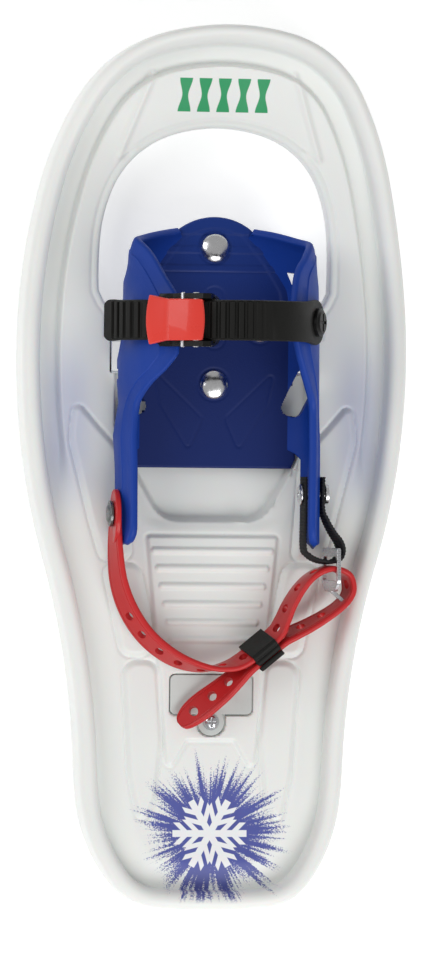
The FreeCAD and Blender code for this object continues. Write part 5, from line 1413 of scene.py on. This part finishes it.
def dress(name, material, body, slot, width):
    """A CAD part with its sharp edges rounded; its own mesh stays as packed."""
    data = bpy.data.meshes.new(name + "_dressed")
    with editing(NODES[name].data, data) as mesh:
        bmesh.ops.remove_doubles(mesh, verts=mesh.verts, dist=1e-6)
        bmesh.ops.dissolve_limit(mesh, angle_limit=math.radians(1.0), verts=mesh.verts, edges=mesh.edges)
    only_material(data, material)
    data.shade_smooth()
    data.set_sharp_from_angle(angle=math.radians(34))
    made = linked(name + "_dressed", data)
    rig.ride(made, body)
    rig.slot(made, slot)
    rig.replaces(made, name)
    bevelled(made, width, 2, 34)


def node_bodies():
    return {entry["piece"]: entry["bodies"][0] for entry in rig.table()["pieces"]}


def dress_all():
    """Give every small part its finish, and rounded edges where they'd be seen."""
    bodies = node_bodies()
    slots = {part["node"]: part["material_slot"] for part in frame["record"]["subparts"]}
    for name, material in FINISH.items():
        if name in ROUNDED:
            dress(name, material, bodies[name], slots[name], ROUNDED[name])
        else:
            only_material(NODES[name].data, material)


make_cradle()
make_strap()
make_lever()
make_heel_strap()
keeper_ridges()
make_webbing()
make_rivets()
dress_all()

# ------------------------------------------------------------------ camera, floor and light


def make_camera():
    """Almost straight above, leaning ten degrees from the shoe's outer side."""
    eye = Vector((-525.8, -4.9, 3020.0)) * MM
    target = Vector((-0.8, -4.9, 20.0)) * MM
    data = bpy.data.cameras.new("camera")
    data.sensor_fit = "VERTICAL"
    data.sensor_height = 24.0
    data.lens = 165.0
    data.clip_start = 0.05
    camera = linked("camera", data)
    ahead = (target - eye).normalized()
    right = ahead.cross(Vector((0, 1, 0))).normalized()
    up = right.cross(ahead)
    roll = 0.0098
    across = right * math.cos(roll) + up * math.sin(roll)
    upright = up * math.cos(roll) - right * math.sin(roll)
    turn = Matrix((across, upright, -ahead)).transposed().to_4x4()
    camera.matrix_world = Matrix.Translation(eye) @ turn
    bpy.context.scene.camera = camera


def soft_light(name, at, aim, size, power):
    """A rectangular soft light turned towards a point."""
    data = bpy.data.lights.new(name, "AREA")
    data.shape = "RECTANGLE"
    data.size, data.size_y = size
    data.energy = power
    lamp = linked(name, data)
    lamp.location = at
    lamp.rotation_euler = (Vector(aim) - Vector(at)).to_track_quat("-Z", "Y").to_euler()
    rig.stage(lamp)


def make_stage():
    bpy.ops.mesh.primitive_plane_add(size=6.0, location=(0, 0, -0.0006))
    floor = bpy.context.object
    floor.name = "floor"
    paper = Shader("paper")
    tone = paper.noise(3.0, 2.0)
    shade = paper.mix(tone, rgb(0.93, 0.93, 0.93), rgb(0.95, 0.95, 0.95))
    paper.set(Base_Color=shade, Roughness=0.9, Emission_Color=shade, Emission_Strength=0.42)
    floor.data.materials.append(paper.material)
    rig.stage(floor)
    world = bpy.data.worlds.new("studio")
    world.use_nodes = True
    world.node_tree.nodes["Background"].inputs[0].default_value = (1.0, 1.0, 1.0, 1.0)
    world.node_tree.nodes["Background"].inputs[1].default_value = 0.42
    bpy.context.scene.world = world
    soft_light("key", (0.30, -0.95, 1.05), (0, 0, 0.02), (1.1, 0.9), 11.5)
    soft_light("fill", (-0.95, 0.35, 0.85), (0, 0, 0.02), (0.6, 0.9), 5.0)
    bpy.context.scene.view_settings.view_transform = "Standard"


make_camera()
make_stage()

with open("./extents.json", "w") as sizes:
    json.dump({"cad": cad_box, "visual": [list(corner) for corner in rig.bounds()]}, sizes)
